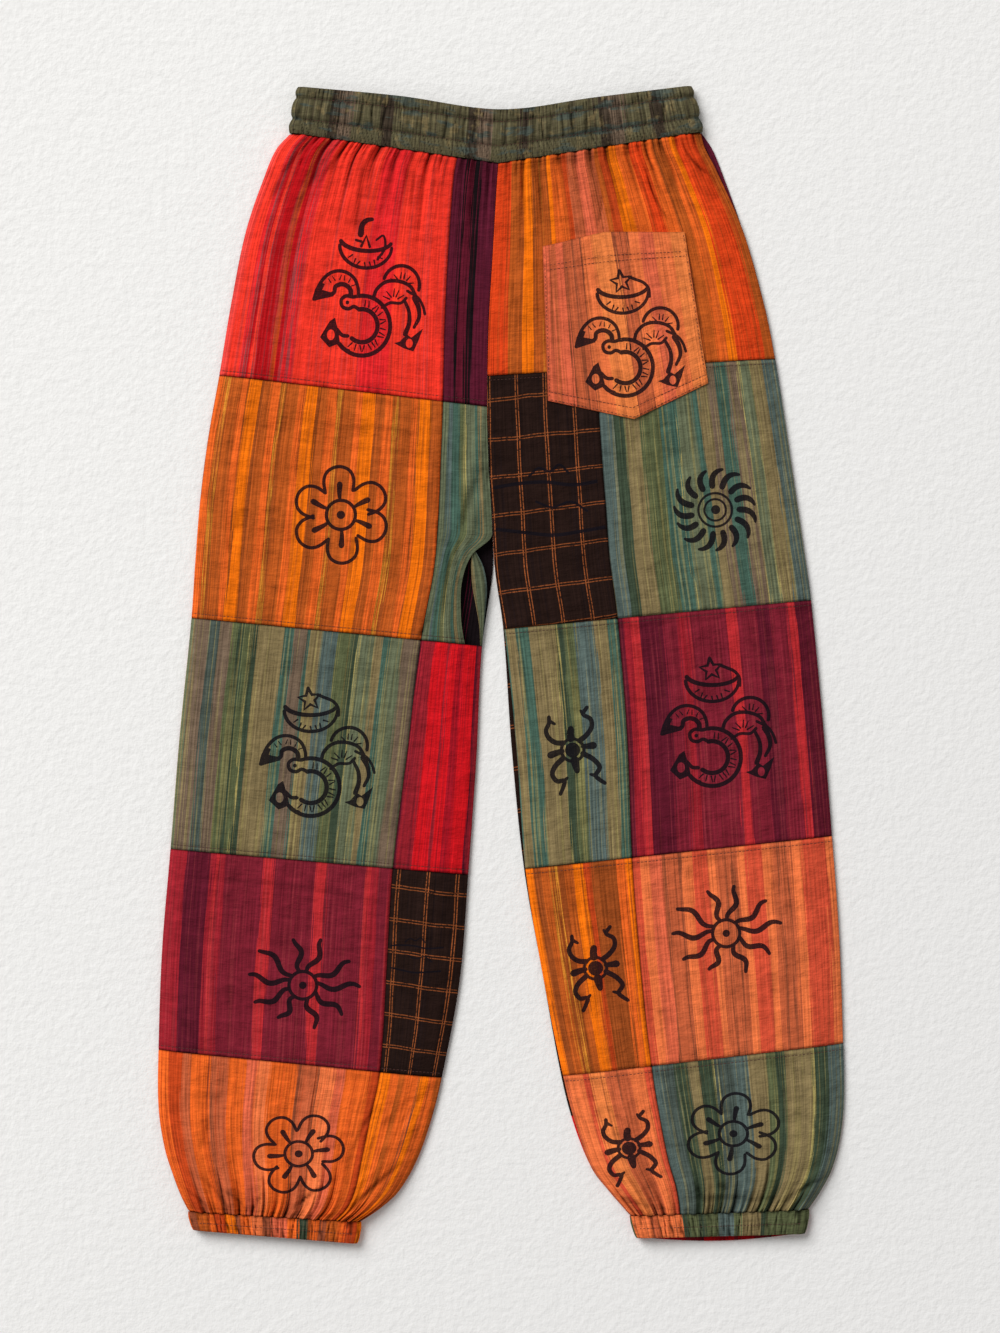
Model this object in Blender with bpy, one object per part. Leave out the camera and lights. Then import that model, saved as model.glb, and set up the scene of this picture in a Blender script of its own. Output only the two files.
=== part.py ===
"""Patchwork drawstring trousers, laid flat on a surface with the back side up.

Lengths in the tables are millimetres and the meshes are made in metres.
+Y runs to the waistband, +Z away from the surface, and the origin is the
middle of the footprint, on the surface.  Each leg is a set of straight
rulings, numbered by row: 0 is the waist seam, 1 to 4 are the seams between
the patches, 5 is the cuff seam.  Along a ruling, 0 is the outer edge of the
leg and 1 its inner edge.
"""

import math
from collections import namedtuple

import bmesh
import bpy
from mathutils import Vector

MM = 0.001
GARMENT = "drawstring_trousers"

CLOTH = 1.5
GAP = 0.3
FRONT_TOP = CLOTH
EDGE_TOP = FRONT_TOP + GAP + CLOTH
CROTCH_ROWS = (1.5, 1.95)

BAND_WALL = 2.6
BAND_HEIGHT = 12.6
BAND_PLEATS = 44
CUFF_WALL = 2.2
CUFF_HEIGHT = 11.0
CUFF_PLEATS = 18
PLEAT_COLUMNS = 3
PLAIN_COLUMNS = 12

GATHERS_END = (70.0, 95.0)

POCKET_WALL = 1.3
POCKET_GAP = 0.45

Station = namedtuple("Station", "row outer_x outer_y inner_y spread seam slip_outer slip_inner")

# spread is the inner edge's distance from the centre line, seam the place of
# the column seam on the ruling, and the slips say how far the front shows
# beyond the back.
LEFT = [
    Station(0.00, -183.2, 460.3, 433.9, 0.0, 0.805, 0.0, 0.0),
    Station(0.06, -194.4, 448.2, 423.0, 0.0, 0.808, 0.0, 0.0),
    Station(0.15, -203.1, 430.0, 407.5, 0.0, 0.812, 0.0, 0.0),
    Station(0.40, -221.3, 377.1, 357.2, 0.0, 0.822, 0.0, 0.0),
    Station(0.70, -234.3, 313.9, 293.1, 0.0, 0.831, 0.0, 0.0),
    Station(1.00, -244.8, 250.7, 223.3, 0.0, 0.836, 0.0, 0.0),
    Station(1.25, -254.2, 197.9, 171.9, 0.0, 0.829, 0.0, 0.0),
    Station(1.50, -261.1, 145.1, 121.7, 0.0, 0.816, 0.0, 0.0),
    Station(1.75, -265.4, 92.2, 76.6, 1.0, 0.803, 0.0, 0.0),
    Station(2.00, -268.9, 40.3, 16.0, 9.6, 0.790, 0.0, 0.0),
    Station(2.50, -278.9, -59.3, -82.7, 14.6, 0.766, 0.0, 0.0),
    Station(3.00, -287.1, -159.8, -182.3, 21.6, 0.747, 0.0, 0.0),
    Station(3.50, -294.4, -247.2, -273.2, 28.9, 0.754, 0.0, 0.0),
    Station(4.00, -297.5, -333.8, -358.1, 44.5, 0.782, 0.0, 0.0),
    Station(4.35, -297.5, -383.2, -398.8, 54.9, 0.779, 0.0, 0.0),
    Station(4.60, -292.3, -418.7, -431.7, 67.0, 0.785, 0.0, 0.0),
    Station(4.80, -283.6, -446.4, -457.7, 82.6, 0.808, 0.0, 0.0),
    Station(4.93, -276.7, -463.7, -473.3, 100.0, 0.838, 0.0, 0.0),
    Station(5.00, -271.2, -473.9, -482.8, 114.7, 0.850, 0.0, 0.0),
]
RIGHT = [
    Station(0.00, 173.6, 461.1, 433.9, 0.0, 0.620, 1.0, 0.0),
    Station(0.06, 182.3, 448.2, 423.0, 0.0, 0.620, 6.0, 0.0),
    Station(0.15, 190.1, 430.0, 408.3, 0.0, 0.620, 4.5, 0.0),
    Station(0.40, 209.1, 377.1, 363.3, 0.0, 0.620, 0.0, 0.0),
    Station(0.70, 227.3, 313.9, 301.8, 0.0, 0.620, 0.0, 0.0),
    Station(1.00, 237.3, 264.9, 249.8, 0.0, 0.622, 0.0, 0.0),
    Station(1.25, 246.4, 207.4, 194.4, 0.0, 0.623, 0.0, 0.0),
    Station(1.50, 253.3, 160.6, 139.9, 0.0, 0.625, 0.0, 0.0),
    Station(1.75, 261.1, 107.8, 85.3, 0.8, 0.627, 0.0, 0.0),
    Station(2.00, 268.4, 55.9, 30.7, 8.3, 0.631, 0.0, 0.8),
    Station(2.50, 278.4, -46.3, -74.0, 15.7, 0.639, 0.0, 4.2),
    Station(3.00, 286.6, -148.5, -177.1, 26.3, 0.653, 0.0, 1.2),
    Station(3.50, 293.1, -238.6, -267.2, 42.1, 0.671, 0.0, 0.0),
    Station(4.00, 296.3, -328.3, -356.4, 58.5, 0.685, 0.0, 1.6),
    Station(4.35, 297.0, -377.1, -399.7, 69.8, 0.688, 0.0, 1.6),
    Station(4.60, 293.6, -411.8, -436.0, 84.5, 0.691, 0.0, 0.0),
    Station(4.80, 285.8, -439.5, -456.8, 100.1, 0.700, 0.0, 0.0),
    Station(4.93, 275.0, -459.4, -470.7, 112.2, 0.714, 0.0, 0.0),
    Station(5.00, 266.3, -472.0, -477.6, 118.3, 0.721, 0.0, 0.0),
]

Level = namedtuple("Level", "row height roll")

# height of the back's upper side above the surface, and the width over which
# it comes down to the edge
LEVELS = [
    Level(0.0, 11.4, 12.0),
    Level(0.4, 10.8, 30.0),
    Level(1.0, 10.6, 32.0),
    Level(2.0, 10.8, 32.0),
    Level(3.0, 10.6, 32.0),
    Level(4.0, 10.8, 30.0),
    Level(4.5, 12.4, 26.0),
    Level(4.8, 13.2, 18.0),
    Level(5.0, 11.2, 10.0),
]

Centre = namedtuple("Centre", "drop x")

# the seat seam, and below it the middle between the legs; drop is measured
# down from the top of the waist seam
CENTRE_TOP = 480.0
CENTRE_LINE = [
    Centre(0.0, 0.0), Centre(46.0, -3.0), Centre(73.0, -4.8), Centre(123.0, -7.7),
    Centre(180.0, -11.1), Centre(230.0, -12.4), Centre(258.0, -12.4),
    Centre(308.0, -10.8), Centre(358.0, -7.9), Centre(400.0, -7.0),
    Centre(450.0, -7.0), Centre(1010.0, -7.0),
]
CENTRE_GAP = 0.5

Fold = namedtuple("Fold", "x0 y0 x1 y1 bow width height")

# long creases and ridges: each runs from (x0, y0) to (x1, y1), bowed
# sideways, and stands up by its height or is pressed down by it
FOLDS = [
    Fold(-232.0, 206.0, -62.0, 190.0, 8.0, 8.0, -1.5),
    Fold(-229.0, 134.0, -236.0, 94.0, 2.0, 7.0, -1.3),
    Fold(-62.0, 47.0, -75.0, 18.0, 2.0, 7.0, -1.2),
    Fold(-200.0, 268.0, -110.0, 262.0, -5.0, 10.0, 1.0),
    Fold(86.0, 414.0, 80.0, 374.0, 2.0, 6.5, -1.6),
    Fold(146.0, 424.0, 164.0, 378.0, -3.0, 7.0, -1.7),
    Fold(118.0, 448.0, 196.0, 424.0, 5.0, 8.0, 1.6),
    Fold(-14.0, 205.0, -46.0, 22.0, 11.0, 8.5, 3.4),
    Fold(-9.0, 150.0, -34.0, 60.0, 9.0, 6.0, 2.6),
    Fold(-20.0, 165.0, -47.0, 60.0, 10.0, 6.0, -2.0),
    Fold(-55.0, -362.0, -134.0, -472.0, -12.0, 9.0, -2.2),
    Fold(-66.0, -392.0, -138.0, -462.0, -8.0, 9.0, 1.8),
    Fold(-268.0, -70.0, -120.0, -88.0, -7.0, 14.0, -1.1),
    Fold(-270.0, -196.0, -150.0, -206.0, 6.0, 12.0, 1.0),
    Fold(-262.0, -300.0, -118.0, -316.0, 6.0, 12.0, -1.0),
    Fold(-285.0, -405.0, -180.0, -395.0, 9.0, 12.0, 1.4),
    Fold(120.0, 180.0, 228.0, 166.0, 6.0, 13.0, -1.0),
    Fold(118.0, 20.0, 255.0, 38.0, -5.0, 12.0, 1.0),
    Fold(140.0, -88.0, 262.0, -104.0, 6.0, 14.0, -1.0),
    Fold(150.0, -222.0, 275.0, -232.0, -7.0, 14.0, 1.1),
    Fold(60.0, -300.0, 122.0, -318.0, 4.0, 12.0, -1.1),
    Fold(170.0, -392.0, 280.0, -372.0, 8.0, 12.0, 1.4),
    Fold(92.0, -400.0, 140.0, -430.0, 4.0, 9.0, -1.2),
]

Gathers = namedtuple("Gathers", "count height reach at_row")


def smooth_between(table, column, at):
    """Read a named column of a table at any place, on a smooth curve through its rows."""
    keys = [entry[0] for entry in table]
    values = [getattr(entry, column) for entry in table]
    at = min(max(at, keys[0]), keys[-1])
    i = max(n for n in range(len(keys) - 1) if keys[n] <= at)
    low = max(i - 1, 0)
    high = min(i + 2, len(keys) - 1)
    span = keys[i + 1] - keys[i]
    t = (at - keys[i]) / span
    start = (values[i + 1] - values[low]) / (keys[i + 1] - keys[low]) * span
    end = (values[high] - values[i]) / (keys[high] - keys[i]) * span
    a = 2 * values[i] - 2 * values[i + 1] + start + end
    b = 3 * values[i + 1] - 3 * values[i] - 2 * start - end
    return ((a * t + b) * t + start) * t + values[i]


def ease(low, high, at):
    """Go smoothly from 0 at low to 1 at high."""
    t = min(max((at - low) / (high - low), 0.0), 1.0)
    return t * t * (3 - 2 * t)


def side_of(leg):
    return -1 if leg is LEFT else 1


def edges(leg, row, front=False):
    """Return the outer and inner ends of a ruling, of the front or of the back."""
    side = side_of(leg)
    slip_outer = 0.0 if front else smooth_between(leg, "slip_outer", row)
    slip_inner = 0.0 if front else smooth_between(leg, "slip_inner", row)
    inner_y = smooth_between(leg, "inner_y", row)
    centre = smooth_between(CENTRE_LINE, "x", CENTRE_TOP - inner_y)
    away = CENTRE_GAP / 2 + max(smooth_between(leg, "spread", row), 0.0) + slip_inner
    outer_x = smooth_between(leg, "outer_x", row) - side * slip_outer
    outer = Vector((outer_x, smooth_between(leg, "outer_y", row)))
    return outer, Vector((centre + side * away, inner_y))


def folds_at(x, y):
    """Add up the heights of the long folds at a place."""
    total = 0.0
    for fold in FOLDS:
        run = Vector((fold.x1 - fold.x0, fold.y1 - fold.y0))
        offset = Vector((x - fold.x0, y - fold.y0))
        t = offset.dot(run) / run.length_squared
        if 0 < t < 1:
            across = run.cross(offset) / run.length - fold.bow * 4 * t * (1 - t)
            total += fold.height * math.sin(math.pi * t) ** 0.7 * math.exp(-(across / fold.width) ** 2)
    return total


def side_rise(distance, width):
    """Go from 0 at an edge to 1 inside it, over a round shoulder of the given width."""
    return math.sin(math.pi / 2 * min(max(distance / width, 0.0), 1.0)) ** 0.75


def back_point(leg, along, row):
    """Return a point on the upper side of the back."""
    outer, inner = edges(leg, row)
    width = (inner - outer).length
    roll = smooth_between(LEVELS, "roll", row)
    shut = ease(CROTCH_ROWS[0], CROTCH_ROWS[1], row)
    rise = side_rise(along * width, roll)
    rise *= 1 - shut * (1 - side_rise((1 - along) * width, roll))
    place = outer.lerp(inner, along)
    height = smooth_between(LEVELS, "height", row) + folds_at(place.x, place.y)
    return Vector((place.x, place.y, EDGE_TOP + (height - EDGE_TOP) * rise))


def back_height(leg, x, y):
    """Find the height of the back's upper side over a place."""
    low, high = leg[0].row, leg[-1].row
    for _ in range(30):
        row = (low + high) / 2
        outer, inner = edges(leg, row)
        below = (inner - outer).cross(Vector((x, y)) - outer) * side_of(leg) > 0
        low, high = (row, high) if below else (low, row)
    outer, inner = edges(leg, row)
    along = (Vector((x, y)) - outer).dot(inner - outer) / (inner - outer).length_squared
    return back_point(leg, along, row).z


def gather_height(gathers, q, row, down):
    """Height of the small folds that run out of a gathered seam."""
    swing = math.cos(2 * math.pi * gathers.count * q) * (1 - abs(2 * q - 1) ** 9)
    size = gathers.height * (0.75 + 0.25 * math.sin(23.0 * q + 1.0 + gathers.at_row))
    reach = gathers.reach * (0.72 + 0.28 * math.sin(14.5 * q + 2.0))
    return swing * size * math.exp(-(down / reach) ** 1.5) * (1 - ease(*GATHERS_END, down))


def finish(name, bm, colour):
    """Turn a bmesh into the object of one sewn piece, with its own material."""
    bmesh.ops.recalc_face_normals(bm, faces=bm.faces)
    mesh = bpy.data.meshes.new(name)
    bm.to_mesh(mesh)
    bm.free()
    mesh.shade_smooth()
    mesh.set_sharp_from_angle(angle=math.radians(50))
    material = bpy.data.materials.new(name)
    material.use_nodes = True
    shader = material.node_tree.nodes["Principled BSDF"]
    shader.inputs["Base Color"].default_value = (*colour, 1.0)
    shader.inputs["Roughness"].default_value = 0.9
    shader.inputs["Metallic"].default_value = 0.0
    mesh.materials.append(material)
    piece = bpy.data.objects.new(name, mesh)
    bpy.data.collections[GARMENT].objects.link(piece)
    return piece


def cloth_piece(name, grid, wall, colour):
    """Make a sheet through a grid of points and give it a wall straight down."""
    bm = bmesh.new()
    lines = [[bm.verts.new(point * MM) for point in line] for line in grid]
    for upper, lower in zip(lines, lines[1:]):
        for i in range(len(upper) - 1):
            bm.faces.new((upper[i], upper[i + 1], lower[i + 1], lower[i]))
    under = bmesh.ops.extrude_face_region(bm, geom=bm.faces[:])
    moved = [item for item in under["geom"] if isinstance(item, bmesh.types.BMVert)]
    bmesh.ops.translate(bm, vec=(0, 0, -wall * MM), verts=moved)
    return finish(name, bm, colour)


def place_columns(count, outer_edge, inner_edge):
    """Space the columns of a patch evenly, with closer ones at an edge that rolls down."""
    columns = [n / count for n in range(count + 1)]
    close = (0.014, 0.036, 0.075)
    if outer_edge:
        columns += close
    if inner_edge:
        columns += [1 - q for q in close]
    merged = []
    for q in sorted(columns):
        if not merged or q - merged[-1] > 0.3 / count or q == 1:
            merged.append(q)
    return merged


def patch(name, leg, rows, start, end, count, colour, gathers=None, edge=(False, False)):
    """Cut one patch of the back, between two places on the rulings and two rows."""
    half = GAP / 2
    side = side_of(leg)
    grid = []
    for row in rows:
        line = []
        for q in place_columns(count, *edge):
            uneven = 0.25 / count * math.sin(17.0 * q) * math.sin(math.pi * q)
            along = start(row) + (end(row) - start(row)) * (q + uneven)
            point = back_point(leg, along, row)
            if gathers:
                seam = back_point(leg, along, gathers.at_row)
                down = (seam.xy - point.xy).length
                point.z += gather_height(gathers, q, row, down)
            point.y += half if row == rows[-1] else -half if row == rows[0] else 0.0
            if q == 0 and not edge[0]:
                point.x -= side * half
            if q == 1 and not edge[1]:
                point.x += side * half
            line.append(point)
        grid.append(line)
    return cloth_piece(name, grid, CLOTH, colour)


def front_panel(name, leg, colour):
    """The front of a leg, flat on the surface under the back."""
    grid = []
    for station in leg:
        outer, inner = edges(leg, station.row, front=True)
        lift = {0.0: -GAP / 2, 5.0: GAP / 2}.get(station.row, 0.0)
        line = [outer.lerp(inner, along) for along in (0.0, 0.33, 0.67, 1.0)]
        grid.append([Vector((place.x, place.y + lift, FRONT_TOP)) for place in line])
    return cloth_piece(name, grid, CLOTH, colour)


Channel = namedtuple("Channel", "up puff lobe pleat")


def band(name, seam, hem, channels, wall, height, pleats, colour, front_drop=0.0):
    """Sew a gathered elastic band: a flattened tube from a seam line to a hem line.

    Both lines run from left to right through named points.  The channels'
    table goes from seam to hem: puff lifts the outer side, lobe moves the
    ends out, and pleat is the height of the pleats there.
    """
    end_columns = (0.0, 1.2, 3.6, 8.0)
    shoulder = end_columns[-1]

    def on_line(line, u):
        scaled = u * (len(line) - 1)
        i = min(int(scaled), len(line) - 2)
        return line[i].lerp(line[i + 1], scaled - i)

    def place_at(up, u):
        return on_line(seam, u).lerp(on_line(hem, u), up)

    length = sum((b - a).length for a, b in zip(seam, seam[1:]))
    ends = [d / length for d in end_columns]
    first, span = ends[-1], 1 - 2 * ends[-1]
    columns = PLEAT_COLUMNS * pleats
    pleated = [first + span * (n + 0.28 * math.sin(n * 1.9)) / columns for n in range(1, columns)]
    plain = [first + span * n / PLAIN_COLUMNS for n in range(1, PLAIN_COLUMNS)]
    back = ends + pleated + [1 - u for u in reversed(ends)]
    front = [1 - u for u in ends[1:]] + list(reversed(plain)) + list(reversed(ends[1:]))

    def ring(channel, layer):
        middle = height / 2
        inset = wall if layer else 0.0
        points = []
        for n, u in enumerate(back + front):
            under = n >= len(back)
            run = place_at(channel.up, u)
            to_end = 1 - min(min(u, 1 - u) * length / shoulder, 1.0)
            bow = math.sqrt(1 - to_end ** 2)
            outward = (-1 if u < 0.5 else 1) * to_end
            x = run.x + outward * (channel.lobe - inset)
            rise = bow * (middle - inset)
            if not layer and not under:
                swing = math.cos(2 * math.pi * n / PLEAT_COLUMNS + 2.0 * channel.up)
                size = channel.pleat * (0.8 + 0.2 * math.sin(n * 0.83))
                rise += bow * (channel.puff + swing * size)
            drop = front_drop * channel.up * math.sin(math.pi * u) if under else 0.0
            points.append(Vector((x, run.y - drop, middle - rise if under else middle + rise)))
        return points

    bm = bmesh.new()
    outer = [[bm.verts.new(p * MM) for p in ring(channel, 0)] for channel in channels]
    inner = [[bm.verts.new(p * MM) for p in ring(channels[n], 1)] for n in (0, -1)]
    around = len(outer[0])
    strips = list(zip(outer, outer[1:])) + [(inner[0], inner[1])]
    strips += [(outer[0], inner[0]), (outer[-1], inner[1])]
    for one, other in strips:
        for i in range(around):
            j = (i + 1) % around
            bm.faces.new((one[i], one[j], other[j], other[i]))
    return finish(name, bm, colour)


def pocket(colour):
    """The patch pocket: the back's own points under it, moved out."""
    top = [Vector((35.6, 361.7)), Vector((88.8, 372.5)), Vector((158.4, 374.2))]
    bottom = [Vector((40.1, 228.2)), Vector((114.7, 212.3)), Vector((178.8, 243.4))]
    hem_share, hem_extra = 0.13, 0.5
    grid = []
    for down in (0.0, 0.06, hem_share, 0.16, 0.3, 0.45, 0.6, 0.75, 0.88, 1.0):
        line = []
        for across in (0.0, 0.04, 0.16, 0.28, 0.4, 0.5, 0.6, 0.72, 0.84, 0.96, 1.0):
            half = 0 if across <= 0.5 else 1
            part = across * 2 - half
            if half:
                upper = top[1].lerp(top[2], part)
            else:
                upper = top[0].lerp(top[1], part)
            upper = upper + Vector((0, 1.6 * math.sin(math.pi * across) ** 2))
            lower = bottom[half].lerp(bottom[half + 1], part)
            place = upper.lerp(lower, down)
            extra = hem_extra if down <= hem_share else 0.0
            height = back_height(RIGHT, place.x, place.y) + POCKET_GAP + POCKET_WALL
            line.append(Vector((place.x, place.y, height + extra)))
        grid.append(line)
    return cloth_piece("pocket", grid, POCKET_WALL, colour)


GussetRow = namedtuple("GussetRow", "y left right height")


def gusset(colour):
    """The lower fold of the crotch gusset, between the two legs."""
    table = [
        GussetRow(100.0, -25.6, -22.6, 8.2),
        GussetRow(86.0, -26.2, -18.4, 8.0),
        GussetRow(69.0, -25.0, -15.2, 7.4),
        GussetRow(52.0, -23.4, -13.9, 6.6),
        GussetRow(34.0, -20.8, -14.7, 5.4),
        GussetRow(16.6, -19.5, -16.8, 4.2),
    ]
    grid = []
    for entry in table:
        line = []
        for across in (0.0, 0.25, 0.5, 0.75, 1.0):
            crown = 1.4 * math.sin(math.pi * across) * math.sin(math.pi * (entry.y - 10) / 95)
            x = entry.left + (entry.right - entry.left) * across
            line.append(Vector((x, entry.y, entry.height + crown)))
        grid.append(line)
    return cloth_piece("gusset", grid, CLOTH, colour)


ROWS = [
    (0.0, 0.05, 0.12, 0.22, 0.36, 0.52, 0.74, 1.0),
    (1.0, 1.12, 1.25, 1.4, 1.55, 1.7, 1.85, 2.0),
    (2.0, 2.15, 2.35, 2.6, 2.8, 3.0),
    (3.0, 3.2, 3.4, 3.6, 3.8, 4.0),
    (4.0, 4.2, 4.4, 4.6, 4.75, 4.88, 5.0),
]

RED = (0.62, 0.06, 0.03)
MARIGOLD = (0.60, 0.20, 0.02)
GREEN = (0.13, 0.15, 0.09)
MAROON = (0.22, 0.02, 0.03)
PEACH = (0.66, 0.21, 0.07)
PLUM = (0.12, 0.02, 0.03)
CRIMSON = (0.45, 0.02, 0.02)
CHECK = (0.03, 0.015, 0.012)
ORANGE = (0.62, 0.22, 0.03)
OLIVE = (0.11, 0.10, 0.06)

FreeEdge = namedtuple("FreeEdge", "row along")

# where the loose inner edge of the green patch folds back at the crotch
GREEN_FOLD = [
    FreeEdge(1.0, 1.0), FreeEdge(1.45, 1.0), FreeEdge(1.55, 0.992),
    FreeEdge(1.7, 0.936), FreeEdge(1.85, 0.922), FreeEdge(2.0, 0.938),
]


def outer_edge(row):
    return 0.0


def inner_edge(row):
    return 1.0


def left_seam(row):
    return smooth_between(LEFT, "seam", row)


def right_seam(row):
    return smooth_between(RIGHT, "seam", row)


def green_fold(row):
    return min(smooth_between(GREEN_FOLD, "along", row), 1.0)


def sew_left_leg():
    outer = (outer_edge, left_seam)
    inner = (left_seam, inner_edge)
    waist = Gathers(10, 1.5, 62.0, 0.0)
    cuff = Gathers(13, 1.7, 48.0, 5.0)
    patch("left_outer_1", LEFT, ROWS[0], *outer, 30, RED, waist, (True, False))
    patch("left_outer_2", LEFT, ROWS[1], *outer, 10, MARIGOLD, None, (True, False))
    patch("left_outer_3", LEFT, ROWS[2], *outer, 10, GREEN, None, (True, False))
    patch("left_outer_4", LEFT, ROWS[3], *outer, 10, MAROON, None, (True, False))
    patch("left_outer_5", LEFT, ROWS[4], *outer, 39, PEACH, cuff, (True, False))
    middle = Gathers(3, 1.7, 66.0, 0.0)
    ankle = Gathers(4, 1.7, 48.0, 5.0)
    patch("left_inner_1", LEFT, ROWS[0], *inner, 9, PLUM, middle)
    patch("left_inner_2", LEFT, ROWS[1], left_seam, green_fold, 9, GREEN)
    patch("left_inner_3", LEFT, ROWS[2], *inner, 5, CRIMSON, None, (False, True))
    patch("left_inner_4", LEFT, ROWS[3], *inner, 5, CHECK, None, (False, True))
    patch("left_inner_5", LEFT, ROWS[4], *inner, 12, ORANGE, ankle, (False, True))


def sew_right_leg():
    outer = (outer_edge, right_seam)
    inner = (right_seam, inner_edge)
    waist = Gathers(12, 1.5, 58.0, 0.0)
    cuff = Gathers(11, 1.7, 48.0, 5.0)
    patch("right_yoke", RIGHT, ROWS[0], outer_edge, inner_edge, 36, ORANGE, waist, (True, False))
    patch("right_outer_2", RIGHT, ROWS[1], *outer, 9, GREEN, None, (True, False))
    patch("right_outer_3", RIGHT, ROWS[2], *outer, 9, MAROON, None, (True, False))
    patch("right_outer_4", RIGHT, ROWS[3], *outer, 9, PEACH, None, (True, False))
    patch("right_outer_5", RIGHT, ROWS[4], *outer, 33, GREEN, cuff, (True, False))
    ankle = Gathers(5, 1.7, 48.0, 5.0)
    patch("right_inner_2", RIGHT, ROWS[1], *inner, 7, CHECK)
    patch("right_inner_3", RIGHT, ROWS[2], *inner, 6, GREEN, None, (False, True))
    patch("right_inner_4", RIGHT, ROWS[3], *inner, 6, MARIGOLD, None, (False, True))
    patch("right_inner_5", RIGHT, ROWS[4], *inner, 15, PEACH, ankle, (False, True))


def sew_bands():
    left_end, centre = edges(LEFT, 0.0, front=True)
    right_end, _ = edges(RIGHT, 0.0, front=True)
    up = Vector((0, GAP / 2))
    middle = Vector((smooth_between(CENTRE_LINE, "x", CENTRE_TOP - centre.y), centre.y))
    waist_seam = [left_end + up, middle + up, right_end + up]
    waist_top = [Vector((-176.0, 500.0)), Vector((-1.3, 478.5)), Vector((164.0, 501.0))]
    waist_channels = [
        Channel(0.0, -0.6, 0.5, 0.6), Channel(0.16, 0.5, 2.2, 0.9),
        Channel(0.32, -1.0, 0.2, 0.4), Channel(0.55, 0.8, 2.6, 1.1),
        Channel(0.77, -1.0, 0.2, 0.4), Channel(0.89, 0.3, 1.8, 0.8),
        Channel(1.0, -0.6, 0.6, 0.6),
    ]
    band("waistband", waist_seam, waist_top, waist_channels, BAND_WALL, BAND_HEIGHT,
         BAND_PLEATS, OLIVE)
    cuff_channels = [
        Channel(0.0, -0.5, 0.4, 0.5), Channel(0.3, 0.4, 1.4, 0.9),
        Channel(0.75, 0.4, 1.2, 0.9), Channel(1.0, -0.4, 0.2, 0.6),
    ]
    hems = {
        "cuff_left": (LEFT, Vector((-267.2, -489.7)), Vector((-125.1, -501.5)), PEACH, 0.0),
        "cuff_right": (RIGHT, Vector((116.9, -496.7)), Vector((262.8, -492.9)), GREEN, 4.0),
    }
    for name, (leg, hem_left, hem_right, colour, drop) in hems.items():
        ends = sorted(edges(leg, 5.0, front=True), key=lambda end: end.x)
        seam = [end - up for end in ends]
        band(name, seam, [hem_left, hem_right], cuff_channels, CUFF_WALL, CUFF_HEIGHT,
             CUFF_PLEATS, colour, drop)


def main():
    for leftover in list(bpy.data.objects):
        bpy.data.objects.remove(leftover)
    garment = bpy.data.collections.new(GARMENT)
    bpy.context.scene.collection.children.link(garment)
    front_panel("front_left", LEFT, MAROON)
    front_panel("front_right", RIGHT, CHECK)
    sew_left_leg()
    sew_right_leg()
    gusset(GREEN)
    pocket(PEACH)
    sew_bands()


main()
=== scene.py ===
import math
import bpy
import numpy as np
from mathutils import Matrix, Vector
from mathutils.geometry import delaunay_2d_cdt


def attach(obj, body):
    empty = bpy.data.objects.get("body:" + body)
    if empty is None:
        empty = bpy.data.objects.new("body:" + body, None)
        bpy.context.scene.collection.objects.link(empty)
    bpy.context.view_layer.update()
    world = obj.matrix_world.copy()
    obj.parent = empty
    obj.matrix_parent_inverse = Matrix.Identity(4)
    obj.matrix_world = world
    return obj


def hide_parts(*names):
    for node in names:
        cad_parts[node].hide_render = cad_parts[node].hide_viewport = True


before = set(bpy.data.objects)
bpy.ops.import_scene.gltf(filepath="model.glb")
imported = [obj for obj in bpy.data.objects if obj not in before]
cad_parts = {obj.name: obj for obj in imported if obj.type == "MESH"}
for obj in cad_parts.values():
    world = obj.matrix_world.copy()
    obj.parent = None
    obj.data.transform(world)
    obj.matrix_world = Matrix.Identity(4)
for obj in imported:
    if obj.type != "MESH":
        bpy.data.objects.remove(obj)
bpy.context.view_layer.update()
mm = 0.001
pieces = {}


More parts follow.
